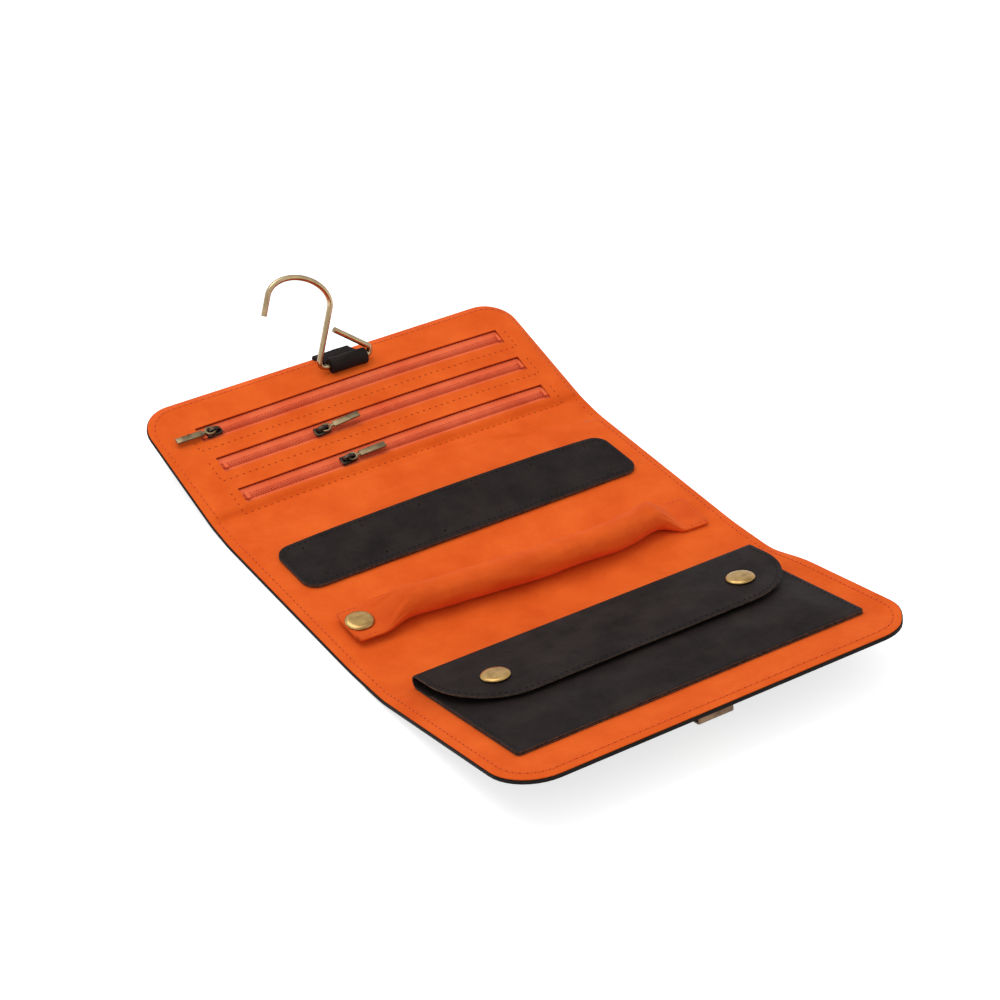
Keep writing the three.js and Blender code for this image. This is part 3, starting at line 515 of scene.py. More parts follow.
@dataclass
class Layout:
    """The open pouch: x, u along its length, and h above the cover's outer face give a point."""

    half_width: float = 100.0
    corner: float = 16.0
    foot_corner: float = 20.5
    top_edge: float = 149.65
    bottom_edge: float = -177.5
    bottom_fold: Fold = Fold(-74.1, 9.1, 6.0)
    lower_fold: Fold = Fold(-47.0, 3.9, 9.0)
    upper_fold: Fold = Fold(59.0, 7.0, 7.0)
    top_fold: Fold = Fold(74.35, 7.0, 4.0)
    step: float = 0.25
    spare: float = 20.0
    edge_curl: float = 2.6
    curl_from: float = 91.0
    curl_width: float = 10.0
    curl_run: float = 30.0
    puff_half: float = 88.0
    spine_puff: float = 2.2
    spine_puff_past: float = 6.0
    spine_puff_reach: Span = (24.0, 12.0)
    pocket_puff: float = 1.2
    pocket_peak: float = 22.0
    pocket_ends: Span = (14.0, 16.0)

    def __post_init__(self) -> None:
        """Works out the side view once: the slope, and y and z along the length."""
        length = np.arange(self.bottom_edge - self.spare, self.top_edge + self.spare, self.step)
        slope = np.zeros_like(length)
        folds = ((self.bottom_fold, -1), (self.lower_fold, -1), (self.upper_fold, 1), (self.top_fold, 1))
        for fold, side in folds:
            share = np.clip((length - fold.at + fold.reach) / (2.0 * fold.reach), 0.0, 1.0)
            share = share * share * (3.0 - 2.0 * share)
            slope += math.radians(fold.bend) * (share if side > 0 else share - 1.0)
        middle = slope[:-1] * 0.5 + slope[1:] * 0.5
        y = np.concatenate(([0.0], np.cumsum(np.cos(middle)))) * self.step
        z = np.concatenate(([0.0], np.cumsum(np.sin(middle)))) * self.step
        y -= np.interp(0.0, length, y)
        z -= np.interp(0.0, length, z)
        self._start = float(length[0])
        self._lines = tuple(line.tolist() for line in (slope, y, z))

    def point(self, x: float, u: float, h: float) -> Vector:
        """Finds where a laid-out point is in the part's frame.

        Args:
            x: Across the pouch.
            u: Along the pouch.
            h: The height above the cover's outer face.

        Returns:
            The point.
        """
        place = (u - self._start) / self.step
        order = int(place)
        share = place - order
        slope, y, z = (line[order] + (line[order + 1] - line[order]) * share for line in self._lines)
        h += self.curl(x, u)
        return Vector((x, y - h * math.sin(slope), z + h * math.cos(slope)))

    def curl(self, x: float, u: float) -> float:
        """Measures how far the bottom panel's right edge has curled up with use.

        Args:
            x: Across the pouch.
            u: Along the pouch.

        Returns:
            The lift.
        """
        if x < self.curl_from or u > self.bottom_fold.at:
            return 0.0
        across = ease((x - self.curl_from) / self.curl_width)
        return self.edge_curl * across * ease((self.bottom_fold.at - u) / self.curl_run)

    def lay(self, flat: Vector) -> Vector:
        """Lays a bench point (x, u, h) in place."""
        return self.point(flat.x, flat.y, flat.z)

    def lay_top(self, flat: Vector) -> Vector:
        """Lays a bench point given along the top panel from its fold."""
        return self.point(flat.x, self.top_fold.at + flat.y, flat.z)

    def lay_bottom(self, flat: Vector) -> Vector:
        """Lays a bench point given along the bottom panel from its fold."""
        return self.point(flat.x, self.bottom_fold.at - flat.y, flat.z)

    def inset(self, x: float, u: float) -> float:
        """Measures how far a point is inside the cover's outline.

        Args:
            x: Across the pouch.
            u: Along the pouch.

        Returns:
            The distance to the outline.
        """
        middle = (self.top_edge + self.bottom_edge) / 2.0
        corner = self.corner if u > middle else self.foot_corner
        across = abs(x) - (self.half_width - corner)
        along = abs(u - middle) - ((self.top_edge - self.bottom_edge) / 2.0 - corner)
        outside = math.hypot(max(across, 0.0), max(along, 0.0))
        return corner - outside - min(max(across, along), 0.0)

    def puff(self, x: float, u: float) -> float:
        """Measures how far the loose fold and the pockets, fullest right of the sliders, lift the lining.

        Args:
            x: Across the pouch.
            u: Along the pouch.

        Returns:
            The lift.
        """
        half, peak = self.puff_half, self.pocket_peak
        off = u - self.upper_fold.at - self.spine_puff_past
        fade = math.exp(-(off / self.spine_puff_reach[0 if off < 0.0 else 1]) ** 2)
        spine = self.spine_puff * max(1.0 - (x / half) ** 2, 0.0) * fade
        full = ease((x + half) / (half + peak)) * max(1.0 - (max(x - peak, 0.0) / (half - peak)) ** 2, 0.0)
        ends = (u - self.top_fold.at) / self.pocket_ends[0], (self.top_edge - u) / self.pocket_ends[1]
        return spine + self.pocket_puff * full * ease(ends[0]) * ease(ends[1])

    def metres(self, x: float, u: float, h: float = 0.0) -> tuple[float, float, float]:
        """A laid-out point in metres."""
        return tuple(self.point(x, u, h) * MM)


def round_outline(x: Span, y: Span, radii: Sequence[float] = (0.0,) * 4, steps: int = 8) -> list[Point]:
    """Draws the outline of a rectangle with round corners.

    Args:
        x: Its lowest and highest x.
        y: Its lowest and highest y.
        radii: Corner radii, anticlockwise from the lowest x and y.
        steps: Steps in each round corner.

    Returns:
        Points anticlockwise.
    """
    corners = ((x[0], y[0], 1, 1), (x[1], y[0], -1, 1), (x[1], y[1], -1, -1), (x[0], y[1], 1, -1))
    points: list[Point] = []
    for order, ((cx, cy, sx, sy), radius) in enumerate(zip(corners, radii)):
        if radius <= 0.0:
            points.append((cx, cy))
            continue
        for step in range(steps + 1):
            angle = math.pi * (1.0 + order / 2.0) + math.pi / 2.0 * step / steps
            points.append((cx + sx * radius + radius * math.cos(angle),
                           cy + sy * radius + radius * math.sin(angle)))
    return points


def walk(path: Line, pitch: float, first: float = 0.5) -> Iterator[tuple[Vector, Vector]]:
    """Steps along a line at an even pitch.

    Args:
        path: The line's points.
        pitch: The distance from step to step.
        first: The first step, as a share of the pitch.

    Yields:
        Each step's point and direction.
    """
    left = pitch * first
    for start, end in zip(path, path[1:]):
        a, b = Vector(start), Vector(end)
        length = (b - a).length
        while left < length:
            yield a.lerp(b, left / length), (b - a) / length
            left += pitch
        left -= length


class Stitch(Enum):
    """The kinds of stitch: pitch, length and the thread's radius."""

    EDGE = (3.0, 2.1, 0.26)
    # Dark beads sunk in needle holes, as painted shade.
    NEEDLE_HOLE_SHADE = (3.0, 0.7, 0.24)
    TAPE_ROW = (3.3, 1.3, 0.26)
    # Solid dark lines of painted shadow under the turned hem round a window: thicker along its top edge,
    # thinner round the rest.
    WINDOW_HEAD_SHADOW = (2.0, 2.3, 0.3)
    WINDOW_HEM_SHADOW = (2.0, 2.3, 0.18)
    CHAIN = (1.6, 1.5, 0.13)
    STRAP = (2.1, 1.5, 0.26)
    TRIM = (2.8, 1.7, 0.22)
    ROLL = (2.4, 1.4, 0.24)
    LOOP = (2.2, 1.6, 0.22)


class Bench:
    """A mesh being made, in millimetres."""

    side_slope = 0.2
    rim_angle = 1.0
    aside = 0.2

    def __init__(self) -> None:
        """Starts an empty mesh."""
        self.mesh = bmesh.new()

    def grid(self, x: Span, y: Span, step: float) -> "Bench":
        """Lays a flat sheet of even squares over a rectangle.

        Args:
            x: Its lowest and highest x.
            y: Its lowest and highest y.
            step: The squares' size.

        Returns:
            The bench.
        """
        columns = max(1, round((x[1] - x[0]) / step))
        rows = max(1, round((y[1] - y[0]) / step))
        made = bmesh.ops.create_grid(self.mesh, x_segments=columns, y_segments=rows, size=0.5)["verts"]
        low = Vector((min(v.co.x for v in made), min(v.co.y for v in made)))
        high = Vector((max(v.co.x for v in made), max(v.co.y for v in made)))
        for vertex in made:
            vertex.co.x = x[0] + (x[1] - x[0]) * (vertex.co.x - low.x) / (high.x - low.x)
            vertex.co.y = y[0] + (y[1] - y[0]) * (vertex.co.y - low.y) / (high.y - low.y)
        return self

    def rows(self, span: Span) -> "Bench":
        """Halves the rows of the sheet where it bends.

        Args:
            span: Where the bend starts and ends along y.

        Returns:
            The bench.
        """
        low, high = sorted(span)
        along = [e for e in self.mesh.edges if abs(e.verts[0].co.x - e.verts[1].co.x) < NEAR
                 and low < (e.verts[0].co.y + e.verts[1].co.y) / 2.0 < high]
        bmesh.ops.subdivide_edges(self.mesh, edges=along, cuts=1, use_grid_fill=True)
        return self

    def slice(self, at: Vector, across: Vector, clear: bool = False) -> None:
        """Cuts the mesh by a plane, and may clear what is beyond it."""
        everything = self.mesh.verts[:] + self.mesh.edges[:] + self.mesh.faces[:]
        bmesh.ops.bisect_plane(self.mesh, geom=everything, dist=NEAR, plane_co=at, plane_no=across,
                               clear_outer=clear)

    def trim(self, outline: Line) -> "Bench":
        """Cuts the sheet to a convex outline.

        Args:
            outline: The outline's points, anticlockwise.

        Returns:
            The bench.
        """
        for start, end in zip(outline, list(outline[1:]) + [outline[0]]):
            run = Vector(end) - Vector(start)
            if run.length > NEAR / 10.0:
                self.slice(Vector((*start, 0.0)), Vector((run.y, -run.x, 0.0)), True)
        return self

    def cut(self, x: Span, y: Span, step: float, radii: Sequence[float], steps: int = 8) -> "Bench":
        """Lays a sheet and cuts it to a rectangle with round corners."""
        return self.grid(x, y, step).trim(round_outline(x, y, radii, steps))

    def window(self, x: Span, y: Span) -> "Bench":
        """Cuts a window out of the sheet.

        Args:
            x: The window's lowest and highest x.
            y: The window's lowest and highest y.

        Returns:
            The bench.
        """
        for place in x:
            self.slice(Vector((place, 0.0, 0.0)), Vector((1.0, 0.0, 0.0)))
        for place in y:
            self.slice(Vector((0.0, place, 0.0)), Vector((0.0, 1.0, 0.0)))
        inside = [f for f in self.mesh.faces if x[0] < f.calc_center_median().x < x[1]
                  and y[0] < f.calc_center_median().y < y[1]]
        bmesh.ops.delete(self.mesh, geom=inside, context="FACES")
        return self

    def punch(self, centres: Line, radius: float) -> "Bench":
        """Punches round holes in the sheet.

        Args:
            centres: The holes' middles.
            radius: The holes' radius.

        Returns:
            The bench.
        """
        for x, y in centres:
            place = Vector((x, y, 0.0))
            nearest = min(self.mesh.verts, key=lambda v: (v.co - place).length_squared)
            nearest.co = place
            bmesh.ops.bevel(self.mesh, geom=[nearest], affect="VERTICES", offset=radius, segments=4,
                            profile=0.5, material=-1, clamp_overlap=True)
            for vertex in self.mesh.verts:
                off = vertex.co - place
                if NEAR < off.length < radius * 1.01:
                    vertex.co = place + off.normalized() * radius
            inside = [f for f in self.mesh.faces
                      if all((v.co - place).length < radius * 1.02 for v in f.verts)]
            bmesh.ops.delete(self.mesh, geom=inside, context="FACES")
        return self

    def thicken(self, thickness: float, rounding: float = 0.0, edge_slot: int = 0,
                skip: Callable[[Vector], bool] = lambda place: False) -> "Bench":
        """Gives the flat sheet its thickness upwards and rounds its rim.

        Args:
            thickness: The sheet's thickness.
            rounding: How far the rim is rounded.
            edge_slot: The material slot of the cut edge.
            skip: Says where the rim stays square, because the next sheet goes on from there.

        Returns:
            The bench.
        """
        made = bmesh.ops.extrude_face_region(self.mesh, geom=self.mesh.faces[:], use_keep_orig=True)["geom"]
        bmesh.ops.translate(self.mesh, verts=[g for g in made if isinstance(g, bmesh.types.BMVert)],
                            vec=(0.0, 0.0, thickness))
        bmesh.ops.recalc_face_normals(self.mesh, faces=self.mesh.faces[:])
        for face in self.mesh.faces:
            face.material_index = edge_slot if abs(face.normal.z) < self.side_slope else 0
        if rounding > 0.0:
            rim = []
            for edge in self.mesh.edges:
                low, high = (v.co for v in edge.verts)
                turned = len(edge.link_faces) == 2 and edge.calc_face_angle(0.0) > self.rim_angle
                if abs(low.z - high.z) < NEAR and turned and not skip((low + high) / 2.0):
                    rim.append(edge)
            bmesh.ops.bevel(self.mesh, geom=rim, affect="EDGES", offset=rounding, segments=2, profile=0.5,
                            material=-1, clamp_overlap=True)
        return self

    def lay(self, rule: Rule) -> "Bench":
        """Moves every point of the mesh by a rule."""
        for vertex in self.mesh.verts:
            vertex.co = rule(vertex.co.copy())
        return self

    def lathe(self, profile: Line, sides: int = 48) -> "Bench":
        """Turns a side view about the Z axis.

        Args:
            profile: The side view's points, as (radius, height).
            sides: Steps in a full turn.

        Returns:
            The bench.
        """
        line = [self.mesh.verts.new((radius, 0.0, height)) for radius, height in profile]
        edges = [self.mesh.edges.new(pair) for pair in zip(line, line[1:])]
        bmesh.ops.spin(self.mesh, geom=line + edges, cent=(0.0, 0.0, 0.0), axis=(0.0, 0.0, 1.0),
                       angle=2.0 * math.pi, steps=sides, use_merge=True)
        bmesh.ops.remove_doubles(self.mesh, verts=self.mesh.verts[:], dist=NEAR)
        return self

    def block(self, size: Point3, centre: Point3, rounding: float, segments: int = 2) -> None:
        """Adds a block with rounded edges.

        Args:
            size: Its lengths.
            centre: Its middle.
            rounding: The radius of its edges.
            segments: Steps in each rounded edge.
        """
        turn = Matrix.Translation(centre) @ Matrix.Diagonal((*size, 1.0))
        verts = bmesh.ops.create_cube(self.mesh, size=1.0, matrix=turn)["verts"]
        edges = list({e for v in verts for e in v.link_edges})
        bmesh.ops.bevel(self.mesh, geom=edges, affect="EDGES", offset=rounding, segments=segments,
                        profile=0.5, material=-1, clamp_overlap=True)

    def draw_out(self, edges: list[bmesh.types.BMEdge], run: float, steps: int) -> list[bmesh.types.BMEdge]:
        """Draws edges out along x.

        Args:
            edges: The edges.
            run: How far to go.
            steps: In how many steps.

        Returns:
            The last edges made.
        """
        for _ in range(steps):
            made = bmesh.ops.extrude_edge_only(self.mesh, edges=edges)["geom"]
            edges = [g for g in made if isinstance(g, bmesh.types.BMEdge)]
            bmesh.ops.translate(self.mesh, verts=[g for g in made if isinstance(g, bmesh.types.BMVert)],
                                vec=(run / steps, 0.0, 0.0))
        return edges

    def band(self, route: Line, width: Span, steps: int) -> "Bench":
        """Draws a side view out along x.

        Args:
            route: The side view's points, as (y, z).
            width: The lowest and highest x.
            steps: Steps along x.

        Returns:
            The bench.
        """
        line = [self.mesh.verts.new((width[0], y, z)) for y, z in route]
        edges = [self.mesh.edges.new(pair) for pair in zip(line, line[1:])]
        self.draw_out(edges, width[1] - width[0], steps)
        return self

    def sew(self, path: Line, stitch: Stitch, rule: Rule, height: Height,
            first: float = 0.5) -> "Bench":
        """Sews a row of stitches along a line on the bench.

        Args:
            path: The row's points on the flat sheet.
            stitch: The kind of stitch.
            rule: Lays a bench point in place.
            height: The height of the thread's middle over the bench.
            first: The first stitch, as a share of the pitch.

        Returns:
            The bench.
        """
        pitch, length, radius = stitch.value
        turns = []
        for point, run in walk(path, pitch, first):
            flat = Vector((point.x, point.y, height(point.x, point.y)))
            middle = rule(flat)
            ahead = (rule(flat + Vector((run.x, run.y, 0.0)) * self.aside) - middle).normalized()
            side = (rule(flat + Vector((-run.y, run.x, 0.0)) * self.aside) - middle).normalized()
            up = ahead.cross(side).normalized()
            turn = Matrix((side * radius, up * radius, ahead * length / 2.0)).transposed().to_4x4()
            turns.append(Matrix.Translation(middle) @ turn)
        return self.beads(turns)

    def beads(self, turns: Sequence[Matrix], at_once: int = 24) -> "Bench":
        """Adds a small bead at each placement.

        Args:
            turns: The placements.
            at_once: How many are made together, because a few at a time are quicker.

        Returns:
            The bench.
        """
        for first in range(0, len(turns), at_once):
            few = bmesh.new()
            for turn in turns[first:first + at_once]:
                bmesh.ops.create_uvsphere(few, u_segments=6, v_segments=4, radius=1.0, matrix=turn)
            held = bpy.data.meshes.new("beads")
            few.to_mesh(held)
            few.free()
            self.mesh.from_mesh(held)
            bpy.data.meshes.remove(held)
        return self

    def to_mesh(self, name: str) -> bpy.types.Mesh:
        """Turns the bench's work into a mesh in metres.

        Args:
            name: The mesh's name.

        Returns:
            The mesh.
        """
        bmesh.ops.scale(self.mesh, vec=(MM, MM, MM), verts=self.mesh.verts[:])
        mesh = bpy.data.meshes.new(name)
        self.mesh.to_mesh(mesh)
        self.mesh.free()
        return mesh

    def finish(self, name: str, finishes: Sequence[Material], slot: Slot,
               sharp: float = 40.0) -> Piece:
        """Turns the bench's work into a finished object at the origin."""
        bmesh.ops.recalc_face_normals(self.mesh, faces=self.mesh.faces[:])
        return publish(name, self.to_mesh(name), finishes, slot, sharp)


def publish(name: str, mesh: bpy.types.Mesh, finishes: Sequence[Material], slot: Slot,
            sharp: float = 40.0) -> Piece:
    """Links a finished mesh as an object and gives it its materials.

    Args:
        name: The piece's name.
        mesh: The mesh, in metres.
        finishes: Its materials, in the order of its material slots.
        slot: The record's material slot; not used.
        sharp: Edges that turn by more than this, in degrees, stay sharp.

    Returns:
        The object.
    """
    for material in finishes:
        mesh.materials.append(material)
    mesh.shade_smooth()
    mesh.set_sharp_from_angle(angle=math.radians(sharp))
    piece = bpy.data.objects.new(name, mesh)
    bpy.context.scene.collection.objects.link(piece)
    LOG.info("made %s: %d faces", name, len(mesh.polygons))
    return piece


def round_edges(piece: Piece, rounding: float, angle: float) -> None:
    """Rounds edges that turn by more than an angle in degrees, by a width in millimetres."""
    edge = piece.modifiers.new("edge", "BEVEL")
    edge.width, edge.segments = rounding * MM, 2
    edge.limit_method, edge.angle_limit = "ANGLE", math.radians(angle)


def give_thickness(piece: Piece, thickness: float, rounding: float) -> None:
    """Gives a bent sheet its thickness, half to each side, and round edges, sizes in millimetres."""
    wall = piece.modifiers.new("thickness", "SOLIDIFY")
    wall.thickness, wall.offset, wall.use_even_offset = thickness * MM, 0.0, True
    round_edges(piece, rounding, 50.0)


@dataclass
class Part:
    """What every sub-assembly has: the open pouch that it lies on, and the finishes."""

    layout: Layout
    palette: Palette


# ---- Cover and lining ----


@dataclass(frozen=True)
class Stretch:
    """A stretch of cover or lining that bends over one fold, between the bodies on its two sides."""

    name: str
    along: Span
    bodies: tuple[str, str]
    turn: Span
    covers: tuple[str, ...]
    linings: tuple[str, ...]


STRETCHES = (
    Stretch("bottom", (-177.5, -60.55), ("lower_spine", "bottom_panel"), (-68.5, -75.4),
            ("bottom_cover",), ("bottom_lining",)),
    Stretch("front_middle", (-60.55, 24.0), ("middle_panel", "lower_spine"), (-46.0, -54.0),
            ("middle_cover", "lower_spine_cover"), ("middle_lining", "lower_spine_lining")),
    Stretch("back_middle", (24.0, 66.675), ("middle_panel", "upper_spine"), (58.0, 64.8),
            ("upper_spine_cover",), ("upper_spine_lining",)),
    Stretch("top", (66.675, 149.65), ("upper_spine", "top_panel"), (69.2, 75.6),
            ("top_cover",), ("top_lining",)),
)


@dataclass(frozen=True)
class Crease:
    """A soft crease in the lining: its ends, its width, and its height, which is below 0 in a valley."""

    start: Point
    end: Point
    width: float
    height: float
    fade: float = 0.2

    def lift(self, x: float, u: float) -> float:
        """Measures how far the crease lifts or sinks a place.

        Args:
            x: Across the pouch.
            u: Along the pouch.

        Returns:
            The lift.
        """
        off, run = Vector((x, u)) - Vector(self.start), Vector(self.end) - Vector(self.start)
        share = off.dot(run) / run.length_squared
        if not -self.fade < share < 1.0 + self.fade:
            return 0.0
        inside = ease((share / self.fade + 1.0) / 2.0) * ease(((1.0 - share) / self.fade + 1.0) / 2.0)
        return self.height * inside * math.exp(-((off - run * share).length / self.width) ** 2)


CREASES = (
    Crease((-44.0, 72.0), (6.0, 69.5), 1.5, -0.35), Crease((6.0, 69.5), (41.0, 66.0), 1.1, -0.6),
    Crease((8.0, 66.5), (42.0, 63.0), 1.6, 0.3), Crease((44.0, 64.4), (62.0, 59.5), 1.1, -0.75),
    Crease((45.0, 67.0), (58.0, 63.0), 1.5, 0.5), Crease((62.0, 63.5), (94.0, 58.0), 2.0, -0.35),
    Crease((-92.0, 66.0), (-40.0, 58.0), 3.0, 0.25), Crease((60.0, 71.0), (96.0, 69.0), 2.4, 0.4),
    Crease((-20.0, 52.0), (40.0, 47.0), 3.5, 0.35), Crease((-80.0, -44.0), (-30.0, -50.0), 3.0, 0.3),
    Crease((40.0, -46.0), (95.0, -40.0), 3.0, 0.3), Crease((-96.0, -62.0), (-70.0, -54.0), 2.6, 0.3),
)


@dataclass
class Panels(Part):
    """The leather cover and the cloth lining, each in four stretches that meet on flat ground."""

    leather: float = 1.5
    cloth: float = 0.45
    lining_inset: float = 0.4
    panel_level: float = 2.8
    top_level: float = 4.25
    spine_level: float = 2.15
    rim_level: float = 2.0
    rim_width: float = 4.6
    board_gap: float = 0.06
    seam_inset: float = 4.0
    top_seam_inset: float = 2.6
    head_seam_inset: float = 5.0
    seam_depth: float = 0.14
    seam_width: float = 0.7
    slow_wave: float = 0.22
    quick_wave: float = 0.1
    cover_rounding: float = 0.4
    lining_rounding: float = 0.18
    step: float = 2.0
    fine_step: float = 1.6
    corner_steps: int = 10
    windows: tuple[tuple[Span, Span], ...] = ()
    hem_top: float = 0.6
    hem_foot: float = 0.25
    hem_width: float = 1.6
    hem_reach: float = 4.0

    def hem(self, x: float, u: float) -> float:
        """Measures how far the turned hem round a zip's window stands up.

        Args:
            x: Across the pouch.
            u: Along the pouch.

        Returns:
            The hem's height, 0 away from the windows.
        """
        for across, along in self.windows:
            off = math.hypot(max(across[0] - x, x - across[1], 0.0), max(along[0] - u, u - along[1], 0.0))
            if off < self.hem_reach:
                height = self.hem_top if u > (along[0] + along[1]) / 2.0 else self.hem_foot
                return height * math.exp(-(off / self.hem_width) ** 2)
        return 0.0

    def body_level(self, u: float) -> float:
        """Measures the lining's height away from the edges: lower over the spines than over the boards.

        Args:
            u: Along the pouch.

        Returns:
            The height over the cover's outer face.
        """
        layout, panel, spine = self.layout, self.panel_level, self.spine_level
        if u > 0.0:
            level = panel + (spine - panel) * ease((u - layout.upper_fold.at + 6.0) / 5.0)
            return level + (self.top_level - spine) * ease((u - layout.top_fold.at + 1.5) / 4.5)
        level = panel + (spine - panel) * ease((layout.lower_fold.at + 6.0 - u) / 6.0)
        return level + (panel - spine) * ease((layout.bottom_fold.at + 1.0 - u) / 4.0)

    def level(self, x: float, u: float) -> float:
        """Measures the height of the lining's top face over the cover's outer face.

        Args:
            x: Across the pouch.
            u: Along the pouch.

        Returns:
            The height.
        """
        inset = self.layout.inset(x, u)
        rim = ease((inset - self.lining_inset) / self.rim_width)
        wave = (noise.noise(Vector((x * 0.03, u * 0.03, 0.4))) * self.slow_wave
                + noise.noise(Vector((x * 0.09, u * 0.09, 2.0))) * self.quick_wave)
        free = ease((inset - 3.0) / 6.0)
        seam = self.seam_depth * math.exp(-((inset - self.seam_at(u)) / self.seam_width) ** 2)
        lift = max(wave, 0.0) + sum(crease.lift(x, u) for crease in CREASES) + self.layout.puff(x, u)
        over_board = u < self.layout.upper_fold.at - 5.0
        board = self.panel_level - self.board_gap if over_board else self.rim_level
        flat = self.rim_level + (self.body_level(u) - self.rim_level) * rim
        return max(flat + free * lift - seam + self.hem(x, u), min(flat, board), self.rim_level)

    def seam_at(self, u: float) -> float:
        """How far the edge seam is from the edge: nearer to it along the top panel."""
        ends = (STRETCHES[-1].along[0], self.layout.top_edge - self.layout.corner)
        return float(np.interp(u, ends, (self.seam_inset, self.top_seam_inset)))

    def outline(self, along: Span, inset: float) -> list[Point]:
        """Draws the outline of a stretch, set in from the cover's edge.

        Args:
            along: Where the stretch starts and ends.
            inset: How far it is set in.

        Returns:
            The outline's points.
        """
        layout = self.layout
        half = layout.half_width - inset
        low = max(along[0], layout.bottom_edge + inset)
        high = min(along[1], layout.top_edge - inset)
        foot = layout.foot_corner - inset if along[0] <= layout.bottom_edge else 0.0
        head = layout.corner - inset if along[1] >= layout.top_edge else 0.0
        return round_outline((-half, half), (low, high), (foot, foot, head, head), self.corner_steps)

    def build(self) -> None:
        """Makes every stretch of cover, lining and edge stitching."""
        for stretch in STRETCHES:
            self.make_cover(stretch)
            self.make_lining(stretch)
            self.make_seam(stretch)

    def is_joint(self, stretch: Stretch) -> Callable[[Vector], bool]:
        """Says where a stretch goes on into the next one."""
        ends = [u for u in stretch.along if self.layout.bottom_edge + 1.0 < u < self.layout.top_edge - 1.0]
        return lambda place: any(abs(place.y - u) < 0.05 for u in ends)

    def place(self, piece: Piece, stretch: Stretch) -> None:
        """Bakes a piece's transform into its mesh; the fold's ends and bodies are looked up but not used."""
        start, end = stretch.turn
        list(stretch.bodies)
        self.layout.metres(0.0, start)
        self.layout.metres(0.0, end)
        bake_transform(piece)

    def make_cover(self, stretch: Stretch) -> None:
        """Makes a stretch of the leather cover.

        Args:
            stretch: The stretch.
        """
        half = self.layout.half_width
        bench = Bench().grid((-half, half), stretch.along, self.step).rows(stretch.turn)
        bench.trim(self.outline(stretch.along, 0.0))
        bench.thicken(self.leather, self.cover_rounding, skip=self.is_joint(stretch)).lay(self.layout.lay)
        piece = bench.finish(f"cover_{stretch.name}", [self.palette.cover], Slot.COVER)
        self.place(piece, stretch)
        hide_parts(*stretch.covers)

    def make_lining(self, stretch: Stretch) -> None:
        """Makes a stretch of the lining, with the zips' windows in the top one.

        Args:
            stretch: The stretch.
        """
        half = self.layout.half_width - self.lining_inset
        low = max(stretch.along[0], self.layout.bottom_edge + self.lining_inset)
        high = min(stretch.along[1], self.layout.top_edge - self.lining_inset)
        has_zips = stretch.name == "top"
        bench = Bench().grid((-half, half), (low, high), self.fine_step if has_zips else self.step)
        bench.rows(stretch.turn).trim(self.outline(stretch.along, self.lining_inset))
        for across, along in self.windows if has_zips else ():
            bench.window(across, along)
        bench.thicken(self.cloth, self.lining_rounding, skip=self.is_joint(stretch))
        bench.lay(lambda p: self.layout.point(p.x, p.y, self.level(p.x, p.y) - self.cloth + p.z))
        piece = bench.finish(f"lining_{stretch.name}", [self.palette.lining], Slot.LINING)
        self.place(piece, stretch)
        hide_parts(*stretch.linings)

    def seam_paths(self, stretch: Stretch) -> list[list[Point]]:
        """Draws the edge seam of a stretch.

        Args:
            stretch: The stretch.

        Returns:
            The seam's lines: round the end of an end stretch, or along both sides.
        """
        layout, steps = self.layout, self.corner_steps
        low, high = stretch.along
        foot = layout.half_width - self.seam_inset
        if stretch.name == "top":
            half, corner = layout.half_width - self.top_seam_inset, layout.corner - self.top_seam_inset
            along = (low, layout.top_edge - self.head_seam_inset)
            path = round_outline((-half, half), along, (0, 0, corner, corner), steps)
            return [[(foot, low)] + path[2:] + [(-foot, low)]]
        if stretch.name == "bottom":
            corner = layout.foot_corner - self.seam_inset
            along = (layout.bottom_edge + self.seam_inset, high)
            path = round_outline((-foot, foot), along, (corner, corner, 0, 0), steps)
            return [[path[-1]] + path[:-1]]
        return [[(-foot, high), (-foot, low)], [(foot, low), (foot, high)]]

    def make_seam(self, stretch: Stretch) -> None:
        """Sews the lining to the cover along the edge, with dark rust beads sunk in the needle holes as
        painted shade.

        Args:
            stretch: The stretch.
        """
        threads, holes = Bench(), Bench()
        for path in self.seam_paths(stretch):
            threads.sew(path, Stitch.EDGE, self.layout.lay, lambda x, u: self.level(x, u) + 0.02)
            # Painted shade: dark rust beads in the needle holes beside the orange thread.
            holes.sew(path, Stitch.NEEDLE_HOLE_SHADE, self.layout.lay, lambda x, u: self.level(x, u) - 0.02, 0.0)
        thread = threads.finish(f"edge_stitches_{stretch.name}", [self.palette.orange_thread], Slot.LINING)
        hole = holes.finish(f"needle_hole_shade_{stretch.name}", [self.palette.rust_thread_and_shade], Slot.LINING)
        for piece in (thread, hole):
            self.place(piece, stretch)


# ---- Zips ----


